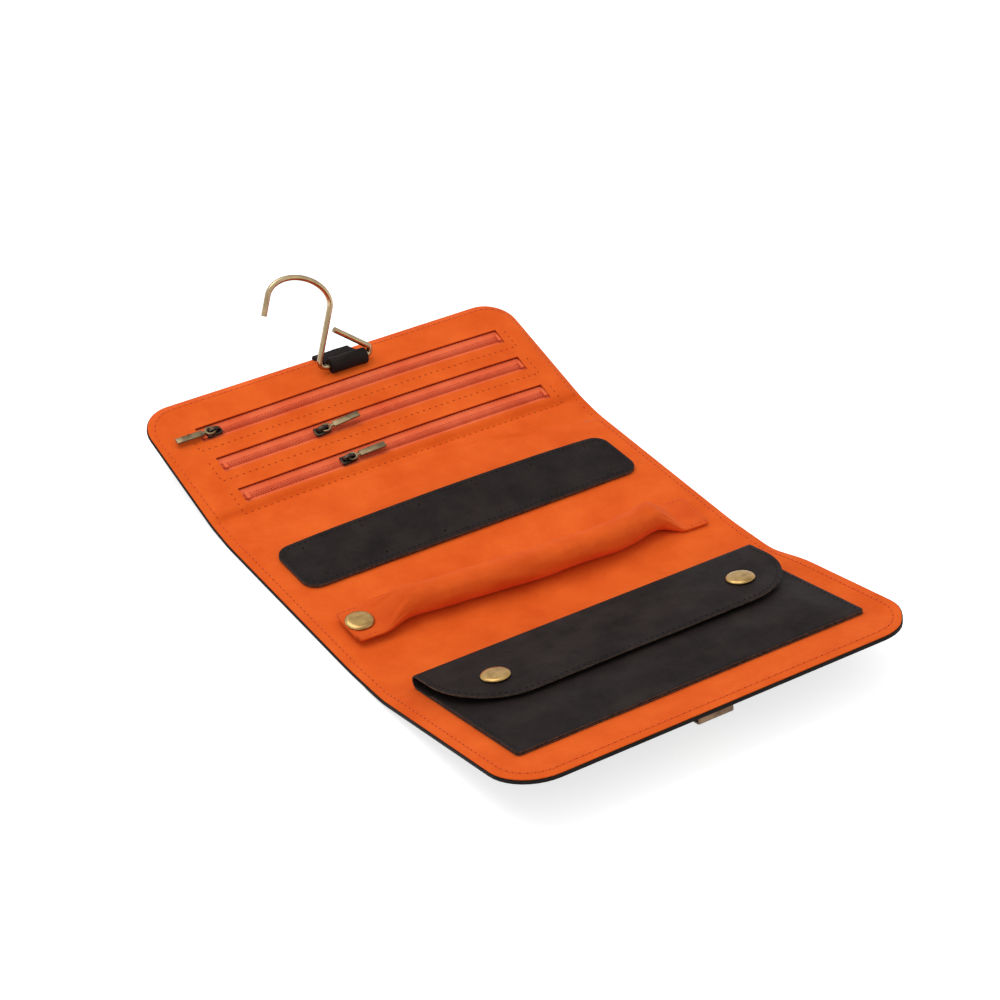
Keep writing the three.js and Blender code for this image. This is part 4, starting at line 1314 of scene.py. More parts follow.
@dataclass
class Zip(Part):
    """One zip in the top panel: tapes, chain, slider and pull."""

    order: int
    line: float
    slider_at: float
    pull_angle: float
    across: Span = (-80.0, 84.0)
    rise: float = 4.5
    shift: float = 0.9
    tape_seam: float = 1.2
    tape_margin: float = 5.0
    tape_base: float = 3.3
    tape_top: float = 3.7
    tape_step: float = 1.6
    half_slit: float = 0.12
    row_margin: float = 4.0
    row_drop: float = 4.6
    hem_level: float = 3.88
    tooth_pitch: float = 1.25
    tooth_margin: float = 0.8
    tooth_level: float = 4.05
    tooth_off: float = 0.62
    tooth_lean: Point = (0.45, 1.62)
    tooth_radii: Point3 = (0.44, 0.4, 0.95)
    chain_seam: float = 1.6
    slider_seat: float = 4.85
    shield: Point3 = (8.0, 6.0, 0.5)
    flange: Point3 = (7.2, 0.85, 1.2)
    flange_at: Point = (2.55, -0.12)
    bridge_at: float = 2.8
    bridge_half: Point = (0.4, 0.8)
    bridge_squash: float = 0.78
    pull_axis: float = 6.6
    eye_radii: Span = (1.45, 2.45)
    eye_stretch: float = 1.12
    eye_at: float = 2.05
    eye_metal: float = 0.9
    neck: Point3 = (2.4, 1.7, 0.8)
    neck_at: float = 5.4
    tab: Point3 = (13.6, 3.3, 0.95)
    tab_at: float = 12.6

    @property
    def name(self) -> str:
        """The zip's name."""
        return f"zip_{self.order}"

    @property
    def window(self) -> tuple[Span, Span]:
        """The zip's window in the lining, by x and by u."""
        middle = self.layout.top_fold.at + self.line + self.shift
        return self.across, (middle - self.rise, middle + self.rise)

    def build(self, panels: Panels) -> None:
        """Makes the zip's pieces.

        Args:
            panels: The lining that the zip is sewn to.
        """
        self.make_tape()
        self.make_chain()
        self.make_rows(panels)
        self.make_slider()
        self.make_pull()

    def puff(self, x: float, v: float) -> float:
        """How far the pocket behind lifts the zip at a place."""
        return self.layout.puff(x, self.layout.top_fold.at + v)

    def make_tape(self) -> None:
        """Makes the two tapes, with a slit between them."""
        x = (self.across[0] - self.tape_margin, self.across[1] + self.tape_margin)
        up = self.rise + self.shift + self.tape_seam
        down = self.rise - self.shift + self.tape_seam
        bench = Bench().grid(x, (self.line - down, self.line + up), self.tape_step)
        bench.window((x[0] - 1.0, x[1] + 1.0), (self.line - self.half_slit, self.line + self.half_slit))
        bench.thicken(self.tape_top - self.tape_base)
        bench.lay(lambda p: self.layout.lay_top(
            Vector((p.x, p.y, p.z + self.tape_base + self.puff(p.x, p.y)))))
        piece = bench.finish(f"{self.name}_tapes", [self.palette.tape], Slot.TAPE)
        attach(piece, "top_panel")
        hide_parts(f"{self.name}_upper_tape", f"{self.name}_lower_tape")

    def tooth(self, x: float, side: int) -> Matrix:
        """Places one turn of the coil.

        Args:
            x: The turn's place along the chain.
            side: 1 for the upper tape, -1 for the lower.

        Returns:
            The placement of a bead of radius 1.
        """
        level = self.tooth_level + self.puff(x, self.line)
        middle = self.layout.lay_top(Vector((x, self.line + side * self.tooth_off, level)))
        aside, out = self.tooth_lean
        lean = self.layout.lay_top(Vector((x + aside, self.line + side * out, level))) - middle
        up, ahead = Vector((0.0, -lean.z, lean.y)).normalized(), lean.normalized()
        axes = (axis * radius for axis, radius in zip((ahead.cross(up), up, ahead), self.tooth_radii))
        return Matrix.Translation(middle) @ Matrix(tuple(axes)).transposed().to_4x4()

    def make_chain(self) -> None:
        """Makes the chain: two rows of coil turns that mesh along the middle, each sewn to its tape."""
        low, high = self.across
        first, count = low + self.tooth_margin, int((high - low - 1.0) / self.tooth_pitch)
        turns = [self.tooth(first + self.tooth_pitch * (order + shift), side)
                 for order in range(count) for side, shift in ((1, 0.5), (-1, 0.0))]
        seam = Bench()
        for side in (1, -1):
            v = self.line + side * self.chain_seam
            seam.sew([(low + 0.3, v), (high - 0.3, v)], Stitch.CHAIN, self.layout.lay_top,
                     lambda x, v: self.tape_top + 0.02 + self.puff(x, v))
        piece = Bench().beads(turns).finish(f"{self.name}_chain", [self.palette.chain], Slot.TAPE)
        thread = seam.finish(f"{self.name}_chain_stitches", [self.palette.rust_thread_and_shade], Slot.TAPE)
        for made in (piece, thread):
            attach(made, "top_panel")

    def make_rows(self, panels: Panels) -> None:
        """Sews the tape to the lining below and beside the window with rust stitches painted dark as
        needle-hole shade, and lays solid dark lines round the window as painted shadow under the turned hem.

        Args:
            panels: The lining that the zip is sewn to.
        """
        lay, puff = self.layout.lay, self.layout.puff
        across, along = self.window
        row = round_outline((across[0] - self.row_margin, across[1] + self.row_margin),
                            (along[0] - self.row_drop, along[1]))
        foot = round_outline(across, along)
        # The tape row's rust is partly painted shade of its needle holes.
        bench = Bench().sew([row[3]] + row[:3], Stitch.TAPE_ROW, lay, lambda x, u: panels.level(x, u) - 0.04)
        # Painted shadow under the hem's overhang along the window's top edge.
        bench.sew(foot[2:], Stitch.WINDOW_HEAD_SHADOW, lay, lambda x, u: self.hem_level + 0.12 + puff(x, u))
        # A thinner painted shadow line along the window's other edges.
        bench.sew([foot[3]] + foot[:3], Stitch.WINDOW_HEM_SHADOW, lay, lambda x, u: self.hem_level + puff(x, u))
        piece = bench.finish(f"{self.name}_stitches", [self.palette.rust_thread_and_shade], Slot.LINING)
        panels.place(piece, STRETCHES[-1])

    def lay_slider(self, p: Vector) -> Vector:
        """Lays a point given from the slider's seat on the chain."""
        level = self.slider_seat + self.puff(self.slider_at, self.line)
        return self.layout.lay_top(Vector((self.slider_at + p.x, self.line + p.y, level + p.z)))

    def make_slider(self) -> None:
        """Makes the slider: a shield with side flanges, and a bridge for the pull."""
        bench = Bench()
        top = self.shield[2]
        bench.block(self.shield, (0.0, 0.0, top / 2.0), 0.22, 3)
        for side in (1, -1):
            bench.block(self.flange, (0.0, side * self.flange_at[0], self.flange_at[1]), 0.36, 3)
        for vertex in bench.mesh.verts:
            nose, tail = ease((vertex.co.x - 0.2) / 3.8), ease((-vertex.co.x - 2.6) / 1.4)
            vertex.co.y *= 1.0 - 0.34 * nose - 0.3 * tail
        dx, dy = self.bridge_half
        corner = [bench.mesh.verts.new((-self.bridge_at + sx * dx, sy * dy, top))
                  for sx, sy in ((-1, -1), (1, -1), (1, 1), (-1, 1))]
        face = bench.mesh.faces.new(corner)
        bmesh.ops.spin(bench.mesh, geom=[face] + list(face.edges) + corner, cent=(0.0, 0.0, top),
                       axis=(0.0, 1.0, 0.0), angle=math.pi, steps=12)
        for vertex in bench.mesh.verts:
            if vertex.co.z > top + 0.05:
                vertex.co.z = top + (vertex.co.z - top) * self.bridge_squash
        bench.lay(self.lay_slider)
        piece = bench.finish(f"{self.name}_slider_body", [self.palette.bronze], Slot.BRONZE)
        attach(piece, f"slider_{self.order}")
        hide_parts(f"{self.name}_slider")

    def make_pull(self) -> None:
        """Makes the pull: a ring eye round the bridge, a neck and a flat tab."""
        bench = Bench()
        rings = [bmesh.ops.create_circle(bench.mesh, segments=28, radius=radius)["verts"]
                 for radius in reversed(self.eye_radii)]
        edges = list({e for ring in rings for v in ring for e in v.link_edges})
        bmesh.ops.bridge_loops(bench.mesh, edges=edges)
        for vertex in bench.mesh.verts:
            vertex.co.x = vertex.co.x * self.eye_stretch + self.eye_at
        bench.thicken(self.eye_metal, 0.25)
        bmesh.ops.translate(bench.mesh, verts=bench.mesh.verts[:], vec=(0.0, 0.0, -self.eye_metal / 2.0))
        bench.block(self.neck, (self.neck_at, 0.0, 0.0), 0.25)
        bench.block(self.tab, (self.tab_at, 0.0, 0.0), 0.3, 3)
        sine, cosine = math.sin(math.radians(self.pull_angle)), math.cos(math.radians(self.pull_angle))

        def hang(p: Vector) -> Vector:
            """Turns the pull on its axis in the bridge."""
            return self.layout.lay_top(Vector((
                self.slider_at + p.x * cosine - p.z * sine, self.line + p.y,
                self.pull_axis + p.x * sine + p.z * cosine)))
        piece = bench.lay(hang).finish(f"{self.name}_pull_tab", [self.palette.antique], Slot.ANTIQUE)
        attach(piece, f"pull_{self.order}")
        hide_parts(f"{self.name}_pull")


# ---- Hanger ----


@dataclass
class Hanger(Part):
    """The leather loop at the top edge and the wire hook that turns in it."""

    centre: float = 5.2
    from_fold: float = 62.2
    axis_level: float = 8.2
    loop_half: float = 9.5
    strap: float = 1.1
    strap_radius: float = 3.25
    tail_end: float = 12.6
    tail_skew: float = 2.3
    tail_sag: float = 2.0
    seam_level: float = -1.55
    seam_margin: float = 0.9
    wire: float = 2.8
    rest_lean: float = 12.0
    base_left: float = 16.0
    base_right: float = 12.3
    shank_bend: float = 4.1
    tail_bend: float = 1.9
    shank: float = 30.0
    shank_lean: float = 20.9
    arch_half: float = 17.1
    arch_rise: float = 11.2
    arch_skew: float = 5.5
    tip: float = 9.8
    tail_rise: float = 3.6
    tail: float = 21.7
    tail_lean: float = 51.7
    bend_steps: int = 8
    arch_steps: int = 40

    def build(self) -> None:
        """Makes the loop and the hook."""
        self.make_loop()
        self.make_hook()

    def make_loop(self) -> None:
        """Makes the loop: a strap that wraps round the wire, with both its ends sewn to the panel's edge."""
        radius = self.strap_radius
        angles = [math.radians(a) for a in range(270, -36, -15)]
        ends = (4.6, 7.0, 9.5, self.tail_end)
        route = [(y, -radius + 0.02) for y in reversed(ends)] + [(2.2, -radius)]
        route += [(radius * math.cos(a), radius * math.sin(a)) for a in angles] + [(3.35, -1.95)]
        route += [(y - 0.3, -2.12) for y in ends]
        bench = Bench().band(route, (-self.loop_half, self.loop_half), 10)
        bench.lay(lambda p: self.lay_loop(
            p + Vector((0.0, 0.1 * math.sin(p.x * 0.5), 0.06 * math.sin(p.x * 0.9 + p.y)))))
        piece = bench.finish("hanger_loop_strap", [self.palette.trim], Slot.TRIM, 60.0)
        give_thickness(piece, self.strap, 0.25)
        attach(piece, "top_panel")
        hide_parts("hanger_loop")
        length = sum(math.dist(start, end) for start, end in zip(route, route[1:]))
        seam = Bench()
        reach = self.loop_half - self.seam_margin
        for place in (5.0, self.tail_end - 1.3):
            seam.sew([(-reach, place), (reach, place)], Stitch.STRAP, self.lay_loop,
                     lambda x, y: self.seam_level)
        thread = seam.finish("hanger_loop_stitches", [self.palette.black_thread], Slot.TRIM)
        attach(thread, "top_panel")

    def lay_loop(self, p: Vector) -> Vector:
        """Lays a point of the loop; the sewn tail runs a little askew and sags.

        Args:
            p: The point, given from the hook's axis.

        Returns:
            The point in place.
        """
        askew = self.tail_skew * ease((p.y - 3.0) / (self.tail_end - 3.0)) if p.z < 0.0 else 0.0
        sag = self.tail_sag * ease((p.y - 5.0) / (self.tail_end - 5.0)) if p.z < 0.0 else 0.0
        return self.layout.lay_top(Vector((
            self.centre + p.x - askew, self.from_fold + p.y, self.axis_level + p.z - sag)))

    def route(self) -> list[Vector]:
        """Draws the hook's centre line in its own upright plane.

        Returns:
            The line's points, from the tail's end to the tip.
        """
        def at(x: float, z: float) -> Vector:
            """A point in the hook's plane."""
            return Vector((x, 0.0, z))
        tail, lean = math.radians(90.0 + self.tail_lean), math.radians(self.shank_lean)
        knee, up = at(self.base_right, self.tail_rise), at(math.sin(lean), math.cos(lean))
        top = at(-self.base_left, 0.0) + up * self.shank
        corners = [knee + at(math.cos(tail), math.sin(tail)) * self.tail, knee, at(self.base_right, 0.0),
                   at(-self.base_left, 0.0), top]
        line = [corners[0]]
        bends = (self.tail_bend, self.tail_bend, self.shank_bend)
        for before, corner, after, bend in zip(corners, corners[1:], corners[2:], bends):
            back, on = (before - corner).normalized(), (after - corner).normalized()
            room = 0.48 * min((before - corner).length, (after - corner).length)
            trim = min(bend / math.tan(back.angle(on) / 2.0), room)
            start, end = corner + back * trim, corner + on * trim
            for step in range(self.bend_steps + 1):
                share = step / self.bend_steps
                line.append(start.lerp(corner, share).lerp(corner.lerp(end, share), share))
        skewed = lean + math.radians(self.arch_skew)
        across = at(-math.cos(skewed), math.sin(skewed))
        for step in range(self.arch_steps + 1):
            angle = math.pi * step / self.arch_steps
            rise = up * self.arch_rise * math.sin(angle)
            line.append(top + across * self.arch_half * (1.0 - math.cos(angle)) + rise)
        return line + [line[-1] - up * self.tip]

    def make_hook(self) -> None:
        """Makes the hook from one bent round wire with flat cut ends."""
        foot = self.layout.lay_top(Vector((self.centre, self.from_fold, self.axis_level)))
        curve = bpy.data.curves.new("hook_route", "CURVE")
        curve.dimensions, curve.bevel_depth, curve.bevel_resolution = "3D", self.wire / 2.0 * MM, 5
        curve.use_fill_caps = True
        back = Matrix.Rotation(-math.radians(self.rest_lean), 3, "X")
        points = [(foot + back @ p) * MM for p in self.route()]
        spline = curve.splines.new("POLY")
        spline.points.add(len(points) - 1)
        for point, place in zip(spline.points, points):
            point.co = (*place, 1.0)
        drawn = bpy.data.objects.new("hook_route", curve)
        bpy.context.scene.collection.objects.link(drawn)
        mesh = bpy.data.meshes.new_from_object(drawn.evaluated_get(bpy.context.evaluated_depsgraph_get()))
        bpy.data.objects.remove(drawn)
        mesh.name = "hanger_hook_wire"
        mesh.materials.clear()
        piece = publish("hanger_hook_wire", mesh, [self.palette.wire], Slot.WIRE)
        round_edges(piece, 0.2, 60.0)
        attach(piece, "hook")
        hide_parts("hanger_hook")


# ---- Earring strip and ring roll ----


@dataclass
class EarringStrip(Part):
    """The leather strip with two rows of punched holes."""

    half: float = 87.2
    along: Span = (7.6, 40.4)
    base: float = 3.13
    leather: float = 1.6
    corner: float = 7.0
    step: float = 2.4
    hole: float = 0.72
    hole_inset: float = 5.5
    hole_places: tuple[float, ...] = (-75.0, -45.0, -15.0, 15.0, 45.0, 75.0)
    seam_inset: float = 2.2
    bow: float = 2.2
    wave: float = 0.25
    pressed: float = 0.58

    def level(self, x: float, y: float) -> float:
        """How high the strip's underside is: it is not quite flat, and bows up at the back."""
        bow = self.bow * max(1.0 - (x / self.half) ** 2, 0.0) * ease((y - self.along[0] - 6.0) / 26.0)
        return self.base + bow + self.wave * noise.noise(Vector((x * 0.025, y * 0.04, 7.0)))

    def build(self) -> None:
        """Makes the strip and its stitches."""
        low, high = self.along
        centres = [(x, y) for x in self.hole_places for y in (low + self.hole_inset, high - self.hole_inset)]
        bench = Bench().cut((-self.half, self.half), self.along, self.step, (self.corner,) * 4)
        bench.punch(centres, self.hole).thicken(self.leather, 0.35, edge_slot=1)
        bench.lay(lambda p: self.layout.lay(Vector((p.x, p.y, self.level(p.x, p.y) + p.z))))
        piece = bench.finish("earring_strip_leather", self.palette.hide, Slot.TRIM)
        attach(piece, "strip")
        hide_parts("earring_strip")
        inset = self.seam_inset
        row = round_outline((inset - self.half, self.half - inset), (low + inset, high - inset),
                            (self.corner - inset,) * 4)
        seam = Bench().sew(row + row[:1], Stitch.TRIM, self.layout.lay,
                           lambda x, y: self.level(x, y) + self.leather + 0.03)
        thread = seam.finish("earring_strip_stitches", [self.palette.black_thread], Slot.TRIM)
        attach(thread, "strip")
        for made in (piece, thread):
            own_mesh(made)


@dataclass
class RingRoll(Part):
    """The stuffed roll for rings: a soft tube with a sewn tab on the right and a snapped tab on the left."""

    centre: float = -30.0
    skew: float = -2.0
    seat: float = 2.8
    half: float = 76.0
    radius: float = 7.7
    tapers: Span = (17.0, 13.0)
    bow: float = 5.0
    tab: float = 13.3
    tab_half_width: float = 11.3
    tab_half_height: float = 0.85
    tab_seam: Span = (3.0, 1.8)
    seam_inset: float = 1.6
    left_base: float = 2.55
    right_base: float = 0.15
    cap_off: float = 6.8
    cap_rise: float = 1.95
    sides: int = 44
    station: float = 2.2
    wadding_along: Span = (-64.0, 62.0)
    wadding_share: float = 0.8
    held_run: float = 9.0
    pressure: float = 4.0
    frames: int = 20
    most_move: float = 0.9

    def lay(self, p: Vector) -> Vector:
        """Lays a point of the roll in place.

        Args:
            p: The point in the roll's own frame.

        Returns:
            The point in place.
        """
        sag = self.bow * ease((p.x + 82.0) / 95.0) * ease((70.0 - p.x) / 32.0)
        turned = Matrix.Rotation(math.radians(self.skew), 3, "Z") @ (p - Vector((0.0, sag, 0.0)))
        return self.layout.lay(Vector((turned.x, turned.y + self.centre, turned.z + self.seat)))

    def fullness(self, x: float) -> float:
        """How full the roll is at a place: 0 on the tabs, 1 where it is stuffed."""
        return ease((self.half - abs(x)) / self.tapers[0 if x < 0.0 else 1])

    def section(self, p: Vector, share: float = 1.0) -> Vector:
        """Shapes the unit tube: flat tabs, a full middle, and pleats where it is gathered.

        Args:
            p: The unit tube's point.
            share: How far out to go from the middle to the cloth, for what fills it.

        Returns:
            The point in the roll's own frame.
        """
        full = self.fullness(p.x)
        angle = math.atan2(p.z, p.y)
        cosine, sine = math.cos(angle), math.sin(angle)
        swell = full ** 0.75
        wide = self.tab_half_width + (self.radius - 0.1 - self.tab_half_width) * swell
        high = self.tab_half_height + (self.radius - 1.25 - self.tab_half_height) * swell
        base = self.left_base if p.x < 0.0 else self.right_base
        bottom = base + (self.right_base + 0.1 - base) * swell
        power = 0.45 + 0.55 * swell
        across = math.copysign(abs(cosine) ** power, cosine) * wide
        up = math.copysign(abs(sine) ** power, sine) * high
        gather = 4.0 * full * (1.0 - full)
        pleat = gather * (0.55 * math.sin(9.0 * angle + 0.11 * p.x) + 0.3 * math.sin(17.0 * angle + 1.0))
        lump = 0.5 * noise.noise(Vector((p.x * 0.07, 2.0 * cosine, 2.0 * sine)))
        patch = max(noise.noise(Vector((p.x * 0.05, 5.0, angle))), 0.0)
        twist = 0.22 * math.sin(0.42 * p.x + 3.0 * angle) * patch
        swollen = share * (1.0 + full * (lump + twist) / self.radius)
        if up > 0.0:
            up += pleat * 0.9
        return Vector((p.x, across * swollen, bottom + high + up * swollen))

    def build(self) -> None:
        """Makes the roll, its wadding, its stitches and its snap cap."""
        self.make_wadding()
        piece = self.make_roll()
        hinge = self.lay(Vector((self.half + 4.0, 0.0, 1.0))) * MM
        free = self.lay(Vector((self.half - 9.0, 0.0, 1.0))) * MM
        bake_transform(piece)
        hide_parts("roll_cover", "roll_anchor_tab", "roll_snap_tab")
        self.make_stitches()
        seat = Vector((-self.half - self.cap_off, 0.0, self.left_base + self.cap_rise))
        cap = snap_cap(self.palette, "roll_snap_cap_shell", lambda p: self.lay(p + seat))
        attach(cap, "ring_roll")
        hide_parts("roll_snap_cap")

    def tube(self, along: Span) -> Bench:
        """Draws a closed tube of radius 1 out along x.

        Args:
            along: Where the tube starts and ends.

        Returns:
            The bench with the tube.
        """
        bench = Bench()
        turn = Matrix.Translation((along[0], 0.0, 0.0)) @ Matrix.Rotation(math.pi / 2.0, 4, "Y")
        ring = bmesh.ops.create_circle(bench.mesh, segments=self.sides, radius=1.0, matrix=turn)["verts"]
        first = list({e for v in ring for e in v.link_edges})
        run = along[1] - along[0]
        last = bench.draw_out(first, run, round(run / self.station))
        bmesh.ops.holes_fill(bench.mesh, edges=first + last, sides=0)
        return bench

    def make_wadding(self) -> None:
        """Makes the wadding that fills the roll."""
        bench = self.tube(self.wadding_along).lay(lambda p: self.lay(self.section(p, self.wadding_share)))
        piece = bench.finish("ring_roll_wadding", [self.palette.wadding], Slot.WADDING, 70.0)
        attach(piece, "ring_roll")
        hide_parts("roll_wadding")

    def make_roll(self) -> Piece:
        """Makes the tube as one closed sack and lets it fill.

        Returns:
            The roll.
        """
        end = self.half + self.tab
        bench = self.tube((-end, end)).lay(lambda p: self.lay(self.section(p)))
        piece = bench.finish("ring_roll_cloth", [self.palette.roll], Slot.LINING, 70.0)
        self.fill(piece)
        shape = piece.modifiers.new("soft", "SUBSURF")
        shape.levels = shape.render_levels = 1
        return piece

    def fill(self, piece: Piece) -> None:
        """Lets pressure fill the sack, with its tabs held, and keeps each point near where it began.

        Args:
            piece: The roll.
        """
        scene = bpy.context.scene
        mesh = piece.data
        rest = [v.co.copy() for v in mesh.vertices]
        held = piece.vertex_groups.new(name="held")
        back = Matrix.Rotation(math.radians(-self.skew), 3, "Z")
        for vertex in mesh.vertices:
            x = (back @ (vertex.co / MM - Vector((0.0, self.centre, 0.0)))).x
            held.add([vertex.index], 1.0 - ease((self.half - abs(x)) / self.held_run), "REPLACE")
        cloth = piece.modifiers.new("fill", "CLOTH")
        settings = {"vertex_group_mass": "held", "use_pressure": True, "quality": 6,
                    "uniform_pressure_force": self.pressure, "tension_stiffness": 12.0,
                    "compression_stiffness": 12.0, "bending_stiffness": 0.4}
        for name, value in settings.items():
            setattr(cloth.settings, name, value)
        cloth.settings.effector_weights.gravity = 0.0
        for frame in range(1, self.frames + 1):
            scene.frame_set(frame)
        shaped = piece.evaluated_get(bpy.context.evaluated_depsgraph_get())
        moved = [v.co.copy() for v in shaped.to_mesh().vertices]
        shaped.to_mesh_clear()
        piece.modifiers.remove(cloth)
        piece.vertex_groups.remove(held)
        scene.frame_set(1)
        limit = self.most_move * MM
        floor = (self.seat + self.right_base) * MM
        for vertex, start, end in zip(mesh.vertices, rest, moved):
            shift = end - start
            if shift.length > limit:
                shift *= limit / shift.length
            vertex.co = start + shift
            vertex.co.z = max(vertex.co.z, min(start.z, floor))
        mesh.update()

    def make_stitches(self) -> None:
        """Sews the anchor tab down and hems the snap tab."""
        reach = self.tab_half_width - self.seam_inset
        near, far = self.half + self.tab_seam[0], self.half + self.tab - self.tab_seam[1]
        tabs = (("roll_anchor_stitches", 1, self.right_base, "middle_panel"),
                ("roll_snap_tab_stitches", -1, self.left_base, "ring_roll"))
        for name, side, base, body in tabs:
            corners = ((near, -reach), (far, -reach), (far, reach), (near, reach))
            row = [(side * x, side * y) for x, y in corners]
            level = base + 2.0 * self.tab_half_height
            seam = Bench().sew(row, Stitch.ROLL, self.lay, lambda x, y, level=level: level)
            thread = seam.finish(name, [self.palette.orange_thread], Slot.LINING)
            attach(thread, body)


def snap_cap(palette: Palette, name: str, rule: Rule) -> Piece:
    """Makes a domed snap cap with a rolled rim.

    Args:
        palette: The finishes.
        name: The piece's name.
        rule: Lays a point given from the middle of the cap's seat.

    Returns:
        The cap.
    """
    profile = ((0.0, 1.42), (2.6, 1.4), (4.4, 1.33), (5.4, 1.2), (5.95, 0.98), (6.3, 0.66), (6.42, 0.36),
               (6.3, 0.1), (5.9, 0.0), (0.0, 0.0))
    return Bench().lathe(profile).lay(rule).finish(name, [palette.brass], Slot.BRASS, 50.0)


# ---- Flap pouch, clasp and closing loop ----


@dataclass
class FlapPouch(Part):
    """The flat leather pouch on the bottom panel, with a flap and two snaps."""

    half: float = 86.0
    near: float = 3.2
    back_start: float = 6.4
    far: float = 82.7
    mouth: float = 17.2
    corner: float = 2.0
    leather: float = 0.85
    back_base: float = 2.95
    front_rim: float = 3.95
    front_rise: float = 1.6
    seam_inset: float = 1.7
    fold_bottom: float = 3.5
    fold_run: float = 1.0
    fold_at: float = 5.2
    flap_level: float = 9.05
    flap_end: float = 48.6
    flap_corner: float = 32.0
    flap_seam_inset: float = 2.1
    flap_seam_start: float = 10.5
    droop: float = 0.5
    snap_spread: float = 62.0
    snap_at: float = 29.6
    snap_seat: float = 9.75

    def build(self) -> None:
        """Makes the back, the front, the flap and the caps."""
        self.make_back()
        self.make_front()
        self.make_flap()
        for side, x in (("left", -self.snap_spread), ("right", self.snap_spread)):
            seat = Vector((x, self.snap_at, self.snap_seat))
            cap = snap_cap(self.palette, f"flap_{side}_cap_shell",
                           lambda p, seat=seat: self.layout.lay_bottom(p + seat))
            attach(cap, "flap")
            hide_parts(f"flap_{side}_cap")

    def make_back(self) -> None:
        """Makes the back, sewn to the lining."""
        along = (self.back_start, self.far)
        bench = Bench().cut((-self.half, self.half), along, 3.0, (0.0, 0.0, self.corner, self.corner), 4)
        bench.thicken(self.leather, 0.25, edge_slot=1)
        bench.lay(lambda p: self.layout.lay_bottom(Vector((p.x, p.y, p.z + self.back_base))))
        piece = bench.finish("pouch_back_leather", self.palette.hide, Slot.TRIM)
        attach(piece, "bottom_panel")
        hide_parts("pouch_back")

    def front_level(self, x: float, v: float) -> float:
        """Measures the height of the front's underside: pressed down at its seams, full between them.

        Args:
            x: Across the pouch.
            v: The place along the bottom panel, from its fold.

        Returns:
            The height over the cover's outer face.
        """
        side = ease((self.half - abs(x) - 1.0) / 16.0)
        end = ease((self.far - v - 1.0) / 18.0)
        wave = 0.18 * noise.noise(Vector((x * 0.03, v * 0.04, 3.0)))
        return self.front_rim + (self.front_rise + wave) * side * end

    def make_front(self) -> None:
        """Makes the front, sewn to the back on three sides."""
        along = (self.mouth, self.far)
        bench = Bench().cut((-self.half, self.half), along, 2.4, (0.0, 0.0, self.corner, self.corner), 4)
        bench.thicken(self.leather, 0.3, edge_slot=1)
        bench.lay(lambda p: self.layout.lay_bottom(Vector((p.x, p.y, p.z + self.front_level(p.x, p.y)))))
        piece = bench.finish("pouch_front_leather", self.palette.hide, Slot.TRIM)
        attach(piece, "bottom_panel")
        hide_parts("pouch_front")
        seam = Bench()
        for x in (self.seam_inset - self.half, self.half - self.seam_inset):
            row = [(x, self.mouth + 1.0), (x, self.far - self.seam_inset)]
            seam.sew(row, Stitch.TRIM, self.layout.lay_bottom,
                     lambda x, v: self.front_level(x, v) + self.leather + 0.03)
        thread = seam.finish("pouch_front_stitches", [self.palette.black_thread], Slot.TRIM)
        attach(thread, "bottom_panel")

    @property
    def fold_radius(self) -> float:
        """The radius of the flap's round fold."""
        return (self.flap_level - self.fold_bottom) / 2.0

    @property
    def flap_length(self) -> float:
        """The flap's length from where it leaves the back to its free edge."""
        return self.fold_run + math.pi * self.fold_radius + self.flap_end - self.fold_at

    def flap_line(self, s: float) -> tuple[Point, Point]:
        """Draws the flap's side view along its length.

        Args:
            s: The distance from where the flap leaves the back.

        Returns:
            The point (v, h) of the leather's middle and its outward direction.
        """
        radius = self.fold_radius
        if s < self.fold_run:
            return (self.fold_at + self.fold_run - s, self.fold_bottom), (0.0, -1.0)
        s -= self.fold_run
        if s < math.pi * radius:
            angle = -math.pi / 2.0 - s / radius
            out = (math.cos(angle), math.sin(angle))
            return (self.fold_at + radius * out[0], self.fold_bottom + radius + radius * out[1]), out
        v = self.fold_at + s - math.pi * radius
        fall = self.droop * ease((v - 32.0) / (self.flap_end - 30.0))
        return (v, self.flap_level - fall), (0.03, 1.0)

    def lay_flap(self, p: Vector) -> Vector:
        """Lays a point of the flat flap in place.

        Args:
            p: The point on the flat flap, whose y runs from where it leaves the back.

        Returns:
            The point in place.
        """
        (v, h), out = self.flap_line(p.y)
        lift = p.z - self.leather / 2.0
        wave = 0.2 * noise.noise(Vector((p.x * 0.03, p.y * 0.05, 11.0))) * ease((p.y - 12.0) / 10.0)
        return self.layout.lay_bottom(Vector((p.x, v + out[0] * lift, h + out[1] * lift + wave)))

    def make_flap(self) -> None:
        """Makes the flap: it turns up at the back in a round fold and lies over the front."""
        length, corner, inset = self.flap_length, self.flap_corner, self.flap_seam_inset
        bench = Bench().cut((-self.half, self.half), (0.0, length), 1.8, (0.0, 0.0, corner, corner), 16)
        bench.thicken(self.leather, 0.3, edge_slot=1).lay(self.lay_flap)
        piece = bench.finish("pouch_flap_leather", self.palette.hide, Slot.TRIM)
        start = self.layout.lay_bottom(Vector((0.0, self.near, 3.8))) * MM
        end = self.layout.lay_bottom(Vector((0.0, 12.0, 8.8))) * MM
        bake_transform(piece)
        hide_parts("pouch_flap")
        row = round_outline((inset - self.half, self.half - inset), (self.flap_seam_start, length - inset),
                            (0.0, 0.0, corner - inset, corner - inset), 16)
        seam = Bench().sew(row[1:] + row[:1], Stitch.TRIM, self.lay_flap, lambda x, s: self.leather + 0.03)
        thread = seam.finish("pouch_flap_stitches", [self.palette.black_thread], Slot.TRIM)
        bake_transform(thread)


